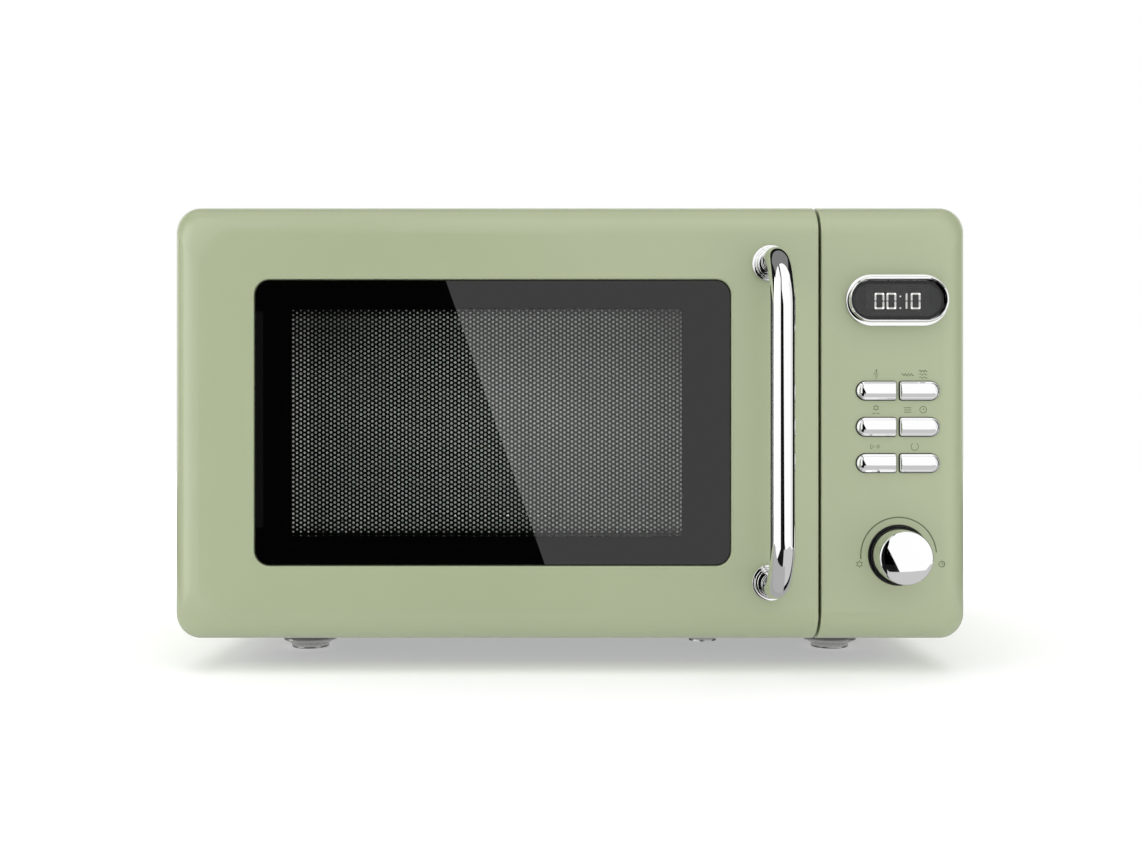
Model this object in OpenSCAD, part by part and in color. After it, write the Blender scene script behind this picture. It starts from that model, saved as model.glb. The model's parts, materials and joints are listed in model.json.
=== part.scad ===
// Countertop microwave oven: rounded case, side-hinged door with a bar handle, and a control
// panel with a display, six buttons and a knob. Millimetres, +Z up. The door faces -Y, and the
// origin is the middle of the footprint at the soles of the feet.

/* [Case] */
// Overall width
case_w = 440; // [430:1:450]
// Height of the case without its feet
case_h = 241; // [238:1:246]
// Depth from the front face to the rear panel
case_d = 338; // [334:1:350]
// Height of the feet
foot_h = 17; // [14:1:20]
// Corner radius of the case seen from the front
corner_r = 13.3; // [12:0.1:16]
// Thickness of the sheet metal
sheet = 1.2; // [1:0.1:1.4]

/* [Door and panel shells] */
// Depth of the door
shell_d = 36; // [34:1:38]
// Wall of the moulded shells
shell_t = 3; // [2.5:0.1:3.2]
// Rounding of the front edges
edge_r = 18; // [15:1:20]
// Width of the door
door_w = 355.4; // [354:0.1:356]
// Gap between door and control panel
panel_gap = 1.5; // [1:0.1:2]
// Gap behind the closed door
door_gap = 2; // [1.5:0.1:2.5]
// Distance of the hinge axis from the side and the rear of the door
hinge_inset = 10; // [9.5:0.1:10.5]

/* [Window] */
// Width of the glass recess
window_w = 260.2; // [255:0.1:262]
// Height of the glass recess
window_h = 156.3; // [150:0.1:158]
// Corner radius of the glass recess
window_r = 8.5; // [6:0.1:10]
// From the side of the case to the glass recess
window_left = 47.7; // [46:0.1:49]
// From the bottom of the case to the glass recess
window_sill = 42.6; // [41:0.1:44]

/* [Handle] */
// Diameter of the handle tube
handle_d = 13; // [12:0.1:14]
// How far the handle stands out from the door
handle_reach = 52; // [48:1:56]
// Distance between the two handle feet
handle_span = 173.5; // [165:0.1:178]
// From the free edge of the door to the handle
handle_inset = 26.4; // [26:0.1:27]
// Bend radius of the tube
handle_bend_r = 27; // [24:1:30]
// Diameter of the collars under the handle
collar_d = 20; // [18:0.1:21]

/* [Control panel] */
// From the right side of the case to the middle of the display
display_inset = 42.1; // [41:0.1:43]
// Height of the display's middle above the bottom of the case
display_rise = 187.3; // [184:0.1:189]
// Width of the display bezel
bezel_w = 56.3; // [55:0.1:57]
// Height of the display bezel
bezel_h = 28.1; // [27:0.1:29]
// From the right side of the case to the middle of the button block
button_inset = 41.6; // [41:0.1:42]
// Height of the middle row of buttons above the bottom of the case
button_rise = 118.4; // [116:0.1:120]
// Distance between rows of buttons
button_pitch = 19.7; // [18:0.1:21]
// Width of one button
button_w = 21.5; // [21:0.1:22]
// Height of one button
button_h = 9.9; // [9:0.1:11]
// Travel of a button
button_travel = 1.5; // [1:0.1:1.5]
// From the right side of the case to the middle of the knob
knob_inset = 41.1; // [40:0.1:42]
// Height of the knob's middle above the bottom of the case
knob_rise = 48.6; // [46:0.1:50]
// Diameter of the knob
knob_d = 28.8; // [27:0.1:30]
// How far the knob stands out
knob_proud = 20; // [16:1:24]
// Diameter of the well round the knob
well_d = 33.4; // [33:0.1:35]

/* [Oven cavity] */
// Inside width
cavity_w = 310; // [306:1:312]
// Inside height
cavity_h = 200; // [196:1:202]
// Inside depth
cavity_d = 294; // [288:1:296]
// Height of the cavity floor above the bottom of the case
cavity_rise = 22; // [21:1:23]
// Diameter of the glass turntable
turntable_d = 245; // [235:1:255]
// Diameter of the roller wheels
wheel_d = 15.7; // [15:0.1:16]
// Radius at which the roller wheels run
wheel_track_r = 100; // [95:1:104]

/* [Hidden] */
$fn = 64;

// Colours
GREEN = [0.68, 0.72, 0.6];
DARK = [0.1, 0.1, 0.1];
CHROME = [0.82, 0.83, 0.85];
STEEL = [0.66, 0.67, 0.69];
ENAMEL = [0.5, 0.51, 0.5];
GLASS = [0.7, 0.8, 0.8, 0.4];
BOARD = [0.12, 0.35, 0.2];
COPPER = [0.72, 0.4, 0.2];

// Planes of the case, from front to rear and from bottom to top
screw_head_h = 2;
half_w = case_w / 2;
half_d = (case_d + screw_head_h + handle_reach) / 2;
front_y = handle_reach - half_d;
door_y = front_y + shell_d;
plate_y = door_y + door_gap;
rear_y = front_y + case_d;
case_z0 = foot_h;
case_z1 = foot_h + case_h;
cabinet_inset = 1;
cabinet_x = half_w - cabinet_inset;
inner_x = cabinet_x - sheet;
floor_z = case_z0 + cabinet_inset + sheet;
base_top = floor_z + sheet;
base_x = cabinet_x - corner_r + cabinet_inset - 0.2;

// Door
door_x0 = -half_w;
door_x1 = door_x0 + door_w;
hinge_x = door_x0 + hinge_inset;
hinge_y = door_y - hinge_inset;
pin_r = 3;
pin_fit = 0.06;
boss_r = hinge_inset - shell_t;
leaf_t = 2.5;
leaf_slot = 5;
leaf_z = [case_z0 + 22, case_z1 - 22];
pin_l = 16;
window_x0 = door_x0 + window_left;
window_x1 = window_x0 + window_w;
window_z0 = case_z0 + window_sill;
window_z1 = window_z0 + window_h;
glass_recess = 1.6;
glass_t = 3;
glass_fit = 0.4;
glass_y = front_y + glass_recess;
ledge = 7;
pad_t = 5;
pad_y = front_y + shell_t + pad_t;
liner_y = door_y - 4;
liner_t = 2.5;
handle_x = door_x1 - handle_inset;
handle_mid = case_z0 + 120.55;
handle_r = handle_d / 2;
handle_y = front_y - handle_reach + handle_r;
handle_z = [handle_mid - handle_span / 2, handle_mid + handle_span / 2];

// Latch key inside the door, with its two arms
key_x = [124, 130];
key_y = front_y + 11;
key_t = 4;
key_z = [62, 206];
arm_h = 6;
arm_end = plate_y + 18;
nose_h = 5;
nose_l = 8;
key_travel = 4;
key_slot_x = [121, 133];
guide_z = [92, 172];
guide_l = 16;
spring_z = [112, 136];
spring_r = 2.4;

// Panel
panel_x0 = door_x1 + panel_gap;
display_x = half_w - display_inset;
display_z = case_z0 + display_rise;
button_x = half_w - button_inset;
button_z = case_z0 + button_rise;
button_gap = 2;
button_fit = 0.5;
button_flange = 0.8;
button_proud = 3.5;
knob_x = half_w - knob_inset;
knob_z = case_z0 + knob_rise;
well_depth = 6;
board_y = front_y + 16;
board_t = 1.6;
board_x = [143, 214];
board_z = [48, 228];
post_x = [147, 210];
post_z = [96, 224];
shaft_r = 3;

// Cavity
cavity_x0 = -half_w + 15;
cavity_x1 = cavity_x0 + cavity_w;
cavity_y0 = plate_y + sheet;
cavity_y1 = cavity_y0 + cavity_d;
cavity_z0 = case_z0 + cavity_rise;
cavity_z1 = cavity_z0 + cavity_h;
cavity_t = 1;
cavity_r = 10;
table_x = (cavity_x0 + cavity_x1) / 2;
table_y = (cavity_y0 + cavity_y1) / 2;
wheel_gap = 0.3;
wheel_r = wheel_d / 2;
wheel_z = cavity_z0 + wheel_gap + wheel_r;
table_z = wheel_z + wheel_r + wheel_gap;
guide_y = 30;
guide_z0 = 118;
antenna_y = 65;
antenna_z = 178;
fan_x = 163;
fan_z = 150;

// ---- Helpers: flat shapes pushed along an axis, and solids given by their corners ----

// The shape's own x and y become X and Z.
module along_y(y0, y1) {
    translate([0, y1, 0]) rotate([90, 0, 0]) linear_extrude(y1 - y0) children();
}

// The shape's own x and y become X and Y.
module along_z(z0, z1) {
    translate([0, 0, z0]) linear_extrude(z1 - z0) children();
}

// The shape's own x and y become Y and Z.
module along_x(x0, x1) {
    translate([x0, 0, 0]) rotate([90, 0, 90]) linear_extrude(x1 - x0) children();
}

module box(lo, hi) {
    translate(lo) cube(hi - lo);
}

module rod_y(x, z, r, y0, y1) {
    translate([x, y1, z]) rotate([90, 0, 0]) cylinder(r = r, h = y1 - y0);
}

module rod_x(y, z, r, x0, x1) {
    translate([x0, y, z]) rotate([0, 90, 0]) cylinder(r = r, h = x1 - x0);
}

module rod_z(x, y, r, z0, z1) {
    translate([x, y, z0]) cylinder(r = r, h = z1 - z0);
}

// Rectangle with four equal round corners.
module round_rect(x0, y0, x1, y1, r) {
    polygon([
        [x0 + r, y0], [x1 - r, y0], [x1, y0 + r], [x1, y1 - r],
        [x1 - r, y1], [x0 + r, y1], [x0, y1 - r], [x0, y0 + r]
    ]);
    for (x = [x0 + r, x1 - r], y = [y0 + r, y1 - r])
        translate([x, y]) circle(r);
}

// Centred outline with half-round ends.
module pill(x, y, w, h) {
    translate([x - (w - h) / 2, y - h / 2]) square([w - h, h]);
    for (s = [-1, 1])
        translate([x + s * (w - h) / 2, y]) circle(h / 2);
}

// Upright slot with round ends.
module slot(x, y, w, l) {
    translate([x - w / 2, y - l / 2 + w / 2]) square([w, l - w]);
    for (s = [-1, 1])
        translate([x, y + s * (l - w) / 2]) circle(w / 2);
}

// Row of upright slots, from x on.
module slot_row(x, y, count, pitch, w, l) {
    for (i = [0 : count - 1])
        slot(x + i * pitch, y, w, l);
}

// Grid of round holes.
module hole_grid(x, y, nx, ny, pitch, r) {
    for (i = [0 : nx - 1], j = [0 : ny - 1])
        translate([x + i * pitch, y + j * pitch]) circle(r);
}

// Front outline of the case, drawn in by a distance.
module case_outline(inset) {
    round_rect(-half_w + inset, case_z0 + inset, half_w - inset, case_z1 - inset,
        corner_r - inset);
}

// Side profile of the front shells: round front edges at top and bottom, open to the rear.
module shell_side(inset, y1) {
    y0 = front_y + inset;
    z0 = case_z0 + inset;
    z1 = case_z1 - inset;
    r = edge_r - inset;
    polygon([[y0 + r, z0], [y1, z0], [y1, z1], [y0 + r, z1], [y0, z1 - r], [y0, z0 + r]]);
    for (z = [z0 + r, z1 - r])
        translate([y0 + r, z]) circle(r);
}

// Plan of the door: round front edge on the hinge side, and a rear edge round the hinge axis.
module door_plan(inset, y1) {
    x0 = door_x0 + inset;
    x1 = door_x1 - inset;
    y0 = front_y + inset;
    r = edge_r - inset;
    polygon([
        [x0 + r, y0], [x1, y0], [x1, y1], [hinge_x, y1], [hinge_x, hinge_y],
        [x0, hinge_y], [x0, y0 + r]
    ]);
    translate([x0 + r, y0 + r]) circle(r);
    translate([hinge_x, hinge_y]) circle(hinge_inset - inset);
}

// Plan of the control panel: round front edge on the outer side.
module panel_plan(inset, y1) {
    x1 = half_w - inset;
    y0 = front_y + inset;
    r = edge_r - inset;
    polygon([[panel_x0 + inset, y0], [x1 - r, y0], [x1, y0 + r], [x1, y1],
        [panel_x0 + inset, y1]]);
    translate([x1 - r, y0 + r]) circle(r);
}

module door_blank(inset, y1) {
    intersection() {
        along_y(front_y + inset, y1) case_outline(inset);
        along_z(case_z0, case_z1) door_plan(inset, y1);
        along_x(-half_w, half_w) shell_side(inset, y1);
    }
}

module panel_blank(inset, y1) {
    intersection() {
        along_y(front_y + inset, y1) case_outline(inset);
        along_z(case_z0, case_z1) panel_plan(inset, y1);
        along_x(-half_w, half_w) shell_side(inset, y1);
    }
}

// ---- Cabinet ----

lip = 8;
tab_z = [50, 137, 225];
tab_w = 8.5;
screw_r = 1.6;

module cabinet_cover() {
    gap_x = cabinet_x - corner_r + cabinet_inset - lip;
    tab_y = rear_y - 2 * sheet;
    color(GREEN) {
        difference() {
            along_y(plate_y, rear_y - sheet) difference() {
                case_outline(cabinet_inset);
                case_outline(cabinet_inset + sheet);
                translate([-gap_x, case_z0]) square([2 * gap_x, 2 * sheet + 1]);
            }
            along_x(-half_w, half_w) slot_row(110, 70, 9, 8, 3.2, 26);
            along_x(-half_w, half_w) slot_row(110, 102, 9, 8, 3.2, 26);
        }
        difference() {
            for (s = [-1, 1], z = tab_z)
                box([min(s * inner_x, s * (inner_x - tab_w)), tab_y, z - 8],
                    [max(s * inner_x, s * (inner_x - tab_w)), tab_y + sheet, z + 8]);
            for (s = [-1, 1], z = tab_z)
                rod_y(s * (inner_x - 6), z, screw_r, tab_y - 1, rear_y);
        }
    }
}

module base_plate() {
    color(STEEL)
        along_z(floor_z, base_top) difference() {
            round_rect(-base_x, cavity_y0, base_x, rear_y - 2 * sheet - 0.4, 2);
            slot_row(120, 100, 11, 8, 3.2, 40);
            slot_row(120, 150, 11, 8, 3.2, 40);
            slot_row(-190, 150, 9, 8, 3.2, 40);
        }
}

gland_x = 190;
gland_z = 45;
gland_r = 7;

module rear_panel() {
    color(STEEL) difference() {
        along_y(rear_y - sheet, rear_y) difference() {
            case_outline(cabinet_inset);
            translate([gland_x, gland_z]) circle(gland_r);
            for (z = [fan_z - 24, fan_z, fan_z + 24])
                slot_row(fan_x - 36, z, 10, 8, 4, 20);
            for (z = [60, 90])
                slot_row(-190, z, 9, 8, 4, 20);
            for (s = [-1, 1], z = tab_z)
                translate([s * (inner_x - 6), z]) circle(screw_r);
        }
    }
}

module rear_screws() {
    color(CHROME)
        for (s = [-1, 1], z = tab_z) {
            rod_y(s * (inner_x - 6), z, screw_r - 0.1, rear_y - 6, rear_y);
            difference() {
                rod_y(s * (inner_x - 6), z, 3.5, rear_y, rear_y + screw_head_h);
                rod_y(s * (inner_x - 6), z, 1.2, rear_y + 1, rear_y + screw_head_h + 1);
            }
        }
}

// Bush that the supply lead passes through.
module cord_gland() {
    color(DARK) difference() {
        union() {
            rod_y(gland_x, gland_z, gland_r - 0.1, rear_y - 8, rear_y);
            rod_y(gland_x, gland_z, gland_r + 2, rear_y - 8, rear_y - sheet);
            rod_y(gland_x, gland_z, gland_r + 2, rear_y, rear_y + screw_head_h);
        }
        rod_y(gland_x, gland_z, 3.6, rear_y - 9, rear_y + screw_head_h + 1);
    }
}

// Slots in the front plate for the latch arms and the hinge leaves, as [x0, z0, x1, z1].
latch_slots = [for (z = key_z)
    [key_slot_x[0], z - nose_h - 1, key_slot_x[1], z + arm_h + key_travel + 1]];

module latch_openings() {
    for (s = latch_slots)
        translate([s[0], s[1]]) square([s[2] - s[0], s[3] - s[1]]);
}

module front_plate() {
    color(ENAMEL)
        along_y(plate_y, cavity_y0) difference() {
            case_outline(cabinet_inset + sheet);
            round_rect(cavity_x0, cavity_z0, cavity_x1, cavity_z1, cavity_r);
            latch_openings();
            for (z = leaf_z)
                translate([hinge_x - 5.5, z - leaf_t / 2 - 0.5]) square([8.7, leaf_t + 1]);
        }
}

module cavity() {
    color(ENAMEL) difference() {
        along_y(cavity_y0, cavity_y1 + cavity_t)
            round_rect(cavity_x0 - cavity_t, cavity_z0 - cavity_t, cavity_x1 + cavity_t,
                cavity_z1 + cavity_t, cavity_r + cavity_t);
        along_y(cavity_y0 - 1, cavity_y1)
            round_rect(cavity_x0, cavity_z0, cavity_x1, cavity_z1, cavity_r);
        rod_z(table_x, table_y, 6, cavity_z0 - 2, cavity_z0 + 1);
        box([cavity_x1 - 1, guide_y + 12, guide_z0 + 7],
            [cavity_x1 + 2, guide_y + 68, guide_z0 + 47]);
        along_x(cavity_x1 - 1, cavity_x1 + 2) hole_grid(-62, 186, 5, 4, 7, 1.8);
        along_x(cavity_x0 - 2, cavity_x0 + 1) hole_grid(110, 190, 7, 4, 7, 1.8);
        for (y = heater_y)
            rod_x(y, heater_z, heater_r + 0.3, cavity_x1 - 1, cavity_x1 + 2);
    }
}

// One foot: a stepped peg with a wide flange under the base plate and a slotted sole.
module foot(x, y, r, z0) {
    difference() {
        union() {
            rod_z(x, y, r, z0, floor_z);
            rod_z(x, y, r + 2.5, case_z0 - 2.5, floor_z);
        }
        box([x - 3.5, y - r - 1, z0 + 2.5], [x + 3.5, y - r + 2.5, z0 + 11]);
    }
}

foot_x = 160;
foot_y = [front_y + 100, 150];

module front_feet() {
    color(STEEL)
        for (s = [-1, 1])
            foot(s * foot_x, foot_y[0], 10, 0);
}

module middle_foot() {
    color(STEEL) foot(84, front_y + 125, 8.5, 0);
}

module rear_feet() {
    color(STEEL)
        for (s = [-1, 1])
            foot(s * foot_x, foot_y[1], 10, 0);
}

// ---- Hinges: a leaf through the front plate, a tab behind it and an upright pin ----

module hinge(z, up) {
    tab = [-4.7, 3.3];
    color(STEEL) {
        along_z(z - leaf_t / 2, z + leaf_t / 2) {
            translate([hinge_x, hinge_y]) circle(5.5);
            translate([hinge_x - 4.5, hinge_y]) square([7, cavity_y0 + 1.5 - hinge_y]);
        }
        rod_z(hinge_x, hinge_y, pin_r, z - (1 - up) / 2 * pin_l, z + (1 + up) / 2 * pin_l);
        box([hinge_x + tab[0], cavity_y0, z - (1 - up) / 2 * 22],
            [hinge_x + tab[1], cavity_y0 + 1.5, z + (1 + up) / 2 * 22]);
    }
}

module hinge_lower() {
    hinge(leaf_z[0], 1);
}

module hinge_upper() {
    hinge(leaf_z[1], -1);
}

// ---- Door ----

// Boss that turns on a hinge pin.
module hinge_boss(z0, z1) {
    intersection() {
        door_blank(0, door_y);
        union() {
            rod_z(hinge_x, hinge_y, boss_r, z0, z1);
            box([door_x0, hinge_y - 4, z0], [hinge_x, hinge_y + 4, z1]);
        }
    }
}

module key_guide(z) {
    box([key_x[0] - 2.5, front_y + shell_t, z], [door_x1 - shell_t, key_y - 0.3, z + guide_l]);
    box([key_x[0] - 2.5, key_y - 0.3, z], [key_x[0] - 0.3, key_y + key_t, z + guide_l]);
    box([key_x[1] + 0.3, key_y - 0.3, z], [door_x1 - shell_t, key_y + key_t, z + guide_l]);
}

// Bridge across the lower guide, behind the key, that carries the latch spring.
module spring_seat() {
    y = key_y + key_t;
    z1 = guide_z[0] + guide_l;
    z0 = z1 - 4;
    box([key_x[0] - 2.5, y, z0], [key_x[0] - 0.3, key_y + 10, z1]);
    box([key_x[1] + 0.3, y, z0], [door_x1 - shell_t, key_y + 10, z1]);
    box([key_x[0] - 2.5, y + 0.3, z0], [door_x1 - shell_t, key_y + 10, z1]);
}

module door_frame() {
    color(GREEN) difference() {
        union() {
            difference() {
                door_blank(0, door_y);
                door_blank(shell_t, door_y + 1);
            }
            along_y(front_y + shell_t, pad_y)
                round_rect(window_x0 - ledge, window_z0 - ledge, window_x1 + ledge,
                    window_z1 + ledge, window_r + ledge);
            hinge_boss(leaf_z[0] + leaf_slot / 2, leaf_z[0] + leaf_slot / 2 + pin_l);
            hinge_boss(leaf_z[1] - leaf_slot / 2 - pin_l, leaf_z[1] - leaf_slot / 2);
            for (z = guide_z)
                key_guide(z);
            spring_seat();
        }
        along_y(front_y - 1, glass_y + glass_t)
            round_rect(window_x0, window_z0, window_x1, window_z1, window_r);
        along_y(front_y, pad_y + 1)
            round_rect(window_x0 + ledge, window_z0 + ledge, window_x1 - ledge,
                window_z1 - ledge, window_r - ledge + 3);
        for (z = leaf_z)
            box([door_x0 - 1, hinge_y - 8, z - leaf_slot / 2],
                [hinge_x + 8, door_y + 1, z + leaf_slot / 2]);
        rod_z(hinge_x, hinge_y, pin_r + pin_fit, leaf_z[0], leaf_z[0] + pin_l + 1);
        rod_z(hinge_x, hinge_y, pin_r + pin_fit, leaf_z[1] - pin_l - 1, leaf_z[1]);
        for (z = handle_z)
            rod_y(handle_x, z, 2.7, front_y - 1, front_y + shell_t + 1);
    }
}

module door_glass() {
    f = glass_fit;
    color(GLASS)
        along_y(glass_y, glass_y + glass_t)
            round_rect(window_x0 + f, window_z0 + f, window_x1 - f, window_z1 - f,
                window_r - f);
}

// Choke pan: the plate behind the glass, whose holes are too fine to cut here, and its rim.
module door_screen() {
    o = ledge - 2;
    t = 0.8;
    color(DARK) difference() {
        along_y(pad_y, liner_y)
            round_rect(window_x0 - o, window_z0 - o, window_x1 + o, window_z1 + o, window_r);
        along_y(pad_y + t, liner_y + 1)
            round_rect(window_x0 - o + t, window_z0 - o + t, window_x1 + o - t,
                window_z1 + o - t, window_r - t);
    }
}

module inner_window() {
    color(GLASS)
        along_y(liner_y - 1.5, liner_y)
            round_rect(window_x0, window_z0, window_x1, window_z1, 3);
}

module door_liner() {
    i = shell_t + 0.3;
    w = 12;
    cut_x = hinge_x + 9;
    liner_x0 = hinge_x + 0.3;
    color(DARK)
        along_y(liner_y, liner_y + liner_t) difference() {
            intersection() {
                case_outline(i);
                translate([liner_x0, 0]) square([door_x1 - i - liner_x0, case_z1]);
            }
            round_rect(window_x0 + w, window_z0 + w, window_x1 - w, window_z1 - w, 5);
            latch_openings();
            translate([-half_w, 0]) square([half_w + cut_x, leaf_z[0] + pin_l + 6]);
            translate([-half_w, leaf_z[1] - pin_l - 6]) square([half_w + cut_x, 80]);
        }
}

// Upright key with two arms whose noses drop behind the front plate.
module latch_key() {
    color([0.9, 0.9, 0.88]) {
        box([key_x[0], key_y, key_z[0]], [key_x[1], key_y + key_t, key_z[1] + arm_h]);
        for (z = key_z) {
            box([key_x[0], key_y + key_t, z], [key_x[1], arm_end, z + arm_h]);
            box([key_x[0], arm_end - nose_l, z - nose_h], [key_x[1], arm_end, z]);
        }
        box([key_x[0], key_y + key_t, spring_z[1]], [key_x[1], key_y + 10, spring_z[1] + 4]);
    }
}

module latch_spring() {
    x = (key_x[0] + key_x[1]) / 2;
    y = key_y + key_t + spring_r + 0.4;
    color(STEEL) difference() {
        rod_z(x, y, spring_r, spring_z[0] - 3.8, spring_z[1]);
        rod_z(x, y, spring_r - 0.8, spring_z[0] - 5, spring_z[1] + 1);
    }
}

module handle() {
    r = handle_bend_r;
    color(CHROME) difference() {
        union() {
            for (k = [0, 1]) {
                s = 1 - 2 * k;
                rod_y(handle_x, handle_z[k], handle_r, handle_y + r, front_y);
                translate([handle_x, handle_y + r, handle_z[k] + s * r])
                    rotate([0, 90, 0])
                        rotate_extrude(angle = s * 90, start = 270)
                            translate([r, 0]) circle(handle_r);
            }
            rod_z(handle_x, handle_y, handle_r, handle_z[0] + r, handle_z[1] - r);
        }
        for (z = handle_z)
            rod_y(handle_x, z, 2.6, front_y - 14, front_y + 1);
    }
}

module handle_collars() {
    color(CHROME)
        for (z = handle_z) difference() {
            union() {
                rod_y(handle_x, z, collar_d / 2, front_y - 2, front_y);
                rod_y(handle_x, z, collar_d / 2 - 1.3, front_y - 3.6, front_y - 2);
                rod_y(handle_x, z, collar_d / 2 - 2.3, front_y - 5.5, front_y - 3.6);
            }
            rod_y(handle_x, z, handle_r + 0.05, front_y - 6, front_y + 1);
        }
}

module handle_screws() {
    y = front_y + shell_t;
    color(STEEL)
        for (z = handle_z) {
            rod_y(handle_x, z, 2.5, y - 15, y);
            difference() {
                rod_y(handle_x, z, 5, y, y + 3.5);
                rod_y(handle_x, z, 1.6, y + 1.5, y + 4);
            }
        }
}

// ---- Control panel ----

module control_panel() {
    color(GREEN) difference() {
        union() {
            difference() {
                panel_blank(0, plate_y);
                panel_blank(shell_t, plate_y + 1);
            }
            rod_y(knob_x, knob_z, well_d / 2 + 2, front_y + 1, front_y + well_depth + 2);
            for (x = post_x, z = post_z)
                rod_y(x, z, 3, front_y + shell_t, board_y);
        }
        rod_y(knob_x, knob_z, well_d / 2, front_y - 1, front_y + well_depth);
        rod_y(knob_x, knob_z, 4.5, front_y, front_y + well_depth + 3);
        along_y(front_y - 1, front_y + shell_t + 1) {
            pill(display_x, display_z, bezel_w - 2.5, bezel_h - 4.3);
            for (side = [-1, 1], row = [-1 : 1])
                translate([button_mid(side), button_z + row * button_pitch])
                    button_face(side, button_fit);
        }
    }
}

bezel_proud = 7;
lens_y = front_y - 3;
lens_t = 1.5;

// Ring with a foot on the panel, a sleeve through it, and a ledge that carries the lens.
module display_bezel() {
    color(CHROME) difference() {
        union() {
            along_y(front_y - 1.5, front_y)
                pill(display_x, display_z, bezel_w, bezel_h);
            along_y(front_y - bezel_proud, front_y - 1.5)
                pill(display_x, display_z, bezel_w - 2.3, bezel_h - 3.3);
            along_y(front_y, front_y + shell_t)
                pill(display_x, display_z, bezel_w - 2.9, bezel_h - 4.7);
        }
        along_y(front_y - bezel_proud - 1, lens_y + lens_t)
            pill(display_x, display_z, bezel_w - 4.7, bezel_h - 6.5);
        along_y(lens_y, front_y + shell_t + 1)
            pill(display_x, display_z, bezel_w - 8.7, bezel_h - 10.5);
    }
}

module display_lens() {
    color([0.1, 0.1, 0.1, 0.7])
        along_y(lens_y, lens_y + lens_t)
            pill(display_x, display_z, bezel_w - 4.9, bezel_h - 6.7);
}

module_y = lens_y + lens_t + 0.6;
module_w = 34;
module_h = 16;

module display_module() {
    color(DARK)
        box([display_x - module_w / 2, module_y, display_z - module_h / 2],
            [display_x + module_w / 2, board_y, display_z + module_h / 2]);
}

// Lit bars of a seven-bar figure: top, upper right, lower right, bottom, lower left, upper left.
BARS_0 = [1, 1, 1, 1, 1, 1];
BARS_1 = [0, 1, 1, 0, 0, 0];
figure_w = 5.25;
figure_h = 8.84;
figure_x = [-12.4, -5.9, 0.15, 7.25];
figure_z = display_z - 0.5 - figure_h / 2;
figure_t = 0.4;
bar_w = 1;
dot_w = 0.9;
dot_x = 1.15;
dot_z = [0.1, 6.5];

module figure_bars(bars) {
    w = figure_w;
    h = figure_h;
    b = bar_w;
    if (bars[0]) translate([b, h - b]) square([w - 2 * b, b]);
    if (bars[1]) translate([w - b, h / 2 + 0.1]) square([b, h / 2 - 0.1]);
    if (bars[2]) translate([w - b, 0]) square([b, h / 2 - 0.1]);
    if (bars[3]) translate([b, 0]) square([w - 2 * b, b]);
    if (bars[4]) square([b, h / 2 - 0.1]);
    if (bars[5]) translate([0, h / 2 + 0.1]) square([b, h / 2 - 0.1]);
}

module display_digits() {
    figures = [BARS_0, BARS_0, BARS_1, BARS_0];
    color([1, 1, 1])
        along_y(module_y - figure_t, module_y) translate([display_x, figure_z]) {
            for (i = [0 : 3])
                translate([figure_x[i], 0]) figure_bars(figures[i]);
            for (z = dot_z)
                translate([dot_x, z]) square(dot_w);
        }
}

module control_board() {
    color(BOARD)
        box([board_x[0], board_y, board_z[0]], [board_x[1], board_y + board_t, board_z[1]]);
}

// Places of the two buttons of a row: the middle of each, left then right.
function button_mid(side) = button_x + side * (button_w + button_gap) / 2;

module tact_switches() {
    color(DARK)
        for (side = [-1, 1], row = [-1 : 1])
            translate([button_mid(side), board_y - 1.7, button_z + row * button_pitch])
                cube([6, 3.4, 6], center = true);
}

// Flat shape of a button: straight towards its neighbour, half round at the outer end.
module button_face(side, grow) {
    r = button_h / 2 + grow;
    end_x = side * (button_w / 2 - button_h / 2);
    x = [-side * (button_w / 2 + grow), end_x];
    translate([end_x, 0]) circle(r);
    translate([min(x), -r]) square([max(x) - min(x), 2 * r]);
}

module button(side, row) {
    stem_end = board_y - 3.4 - 0.3 - button_travel;
    flange_y = front_y + shell_t + 0.2;
    color(CHROME)
        translate([button_mid(side), 0, button_z + row * button_pitch]) {
            along_y(front_y - button_proud, flange_y) button_face(side, 0);
            along_y(flange_y, flange_y + 1.2) button_face(side, button_flange);
            box([-2, flange_y + 1.2, -2], [2, stem_end, 2]);
        }
}

module button_microwave() {
    button(-1, 1);
}

module button_grill() {
    button(1, 1);
}

module button_defrost() {
    button(-1, 0);
}

module button_clock() {
    button(1, 0);
}

module button_start() {
    button(-1, -1);
}

module button_stop() {
    button(1, -1);
}

knob_back = front_y + well_depth - 0.5;
shaft_front = front_y - 8;

module knob() {
    dome_r = 70;
    color(CHROME) difference() {
        intersection() {
            rod_y(knob_x, knob_z, knob_d / 2, front_y - knob_proud, knob_back);
            translate([knob_x, front_y - knob_proud + dome_r, knob_z]) sphere(dome_r);
        }
        rod_y(knob_x, knob_z, shaft_r + 0.05, shaft_front, knob_back + 1);
    }
}

module knob_shaft() {
    color(STEEL) rod_y(knob_x, knob_z, shaft_r, shaft_front, board_y - 2);
}

module encoder() {
    y0 = front_y + well_depth + 2.5;
    color(STEEL) difference() {
        box([knob_x - 7, y0, knob_z - 7], [knob_x + 7, board_y, knob_z + 7]);
        rod_y(knob_x, knob_z, shaft_r + pin_fit, y0 - 1, board_y - 1.8);
    }
}

// ---- Turntable drive ----

motor_shaft_r = 3.5;

module turntable_motor() {
    z1 = cavity_z0 - cavity_t;
    color(STEEL) difference() {
        union() {
            rod_z(table_x, table_y, 25, z1 - 14, z1);
            box([table_x - 33, table_y - 5, z1 - 2], [table_x + 33, table_y + 5, z1]);
        }
        rod_z(table_x, table_y, motor_shaft_r + pin_fit, z1 - 11, z1 + 1);
    }
}

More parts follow.
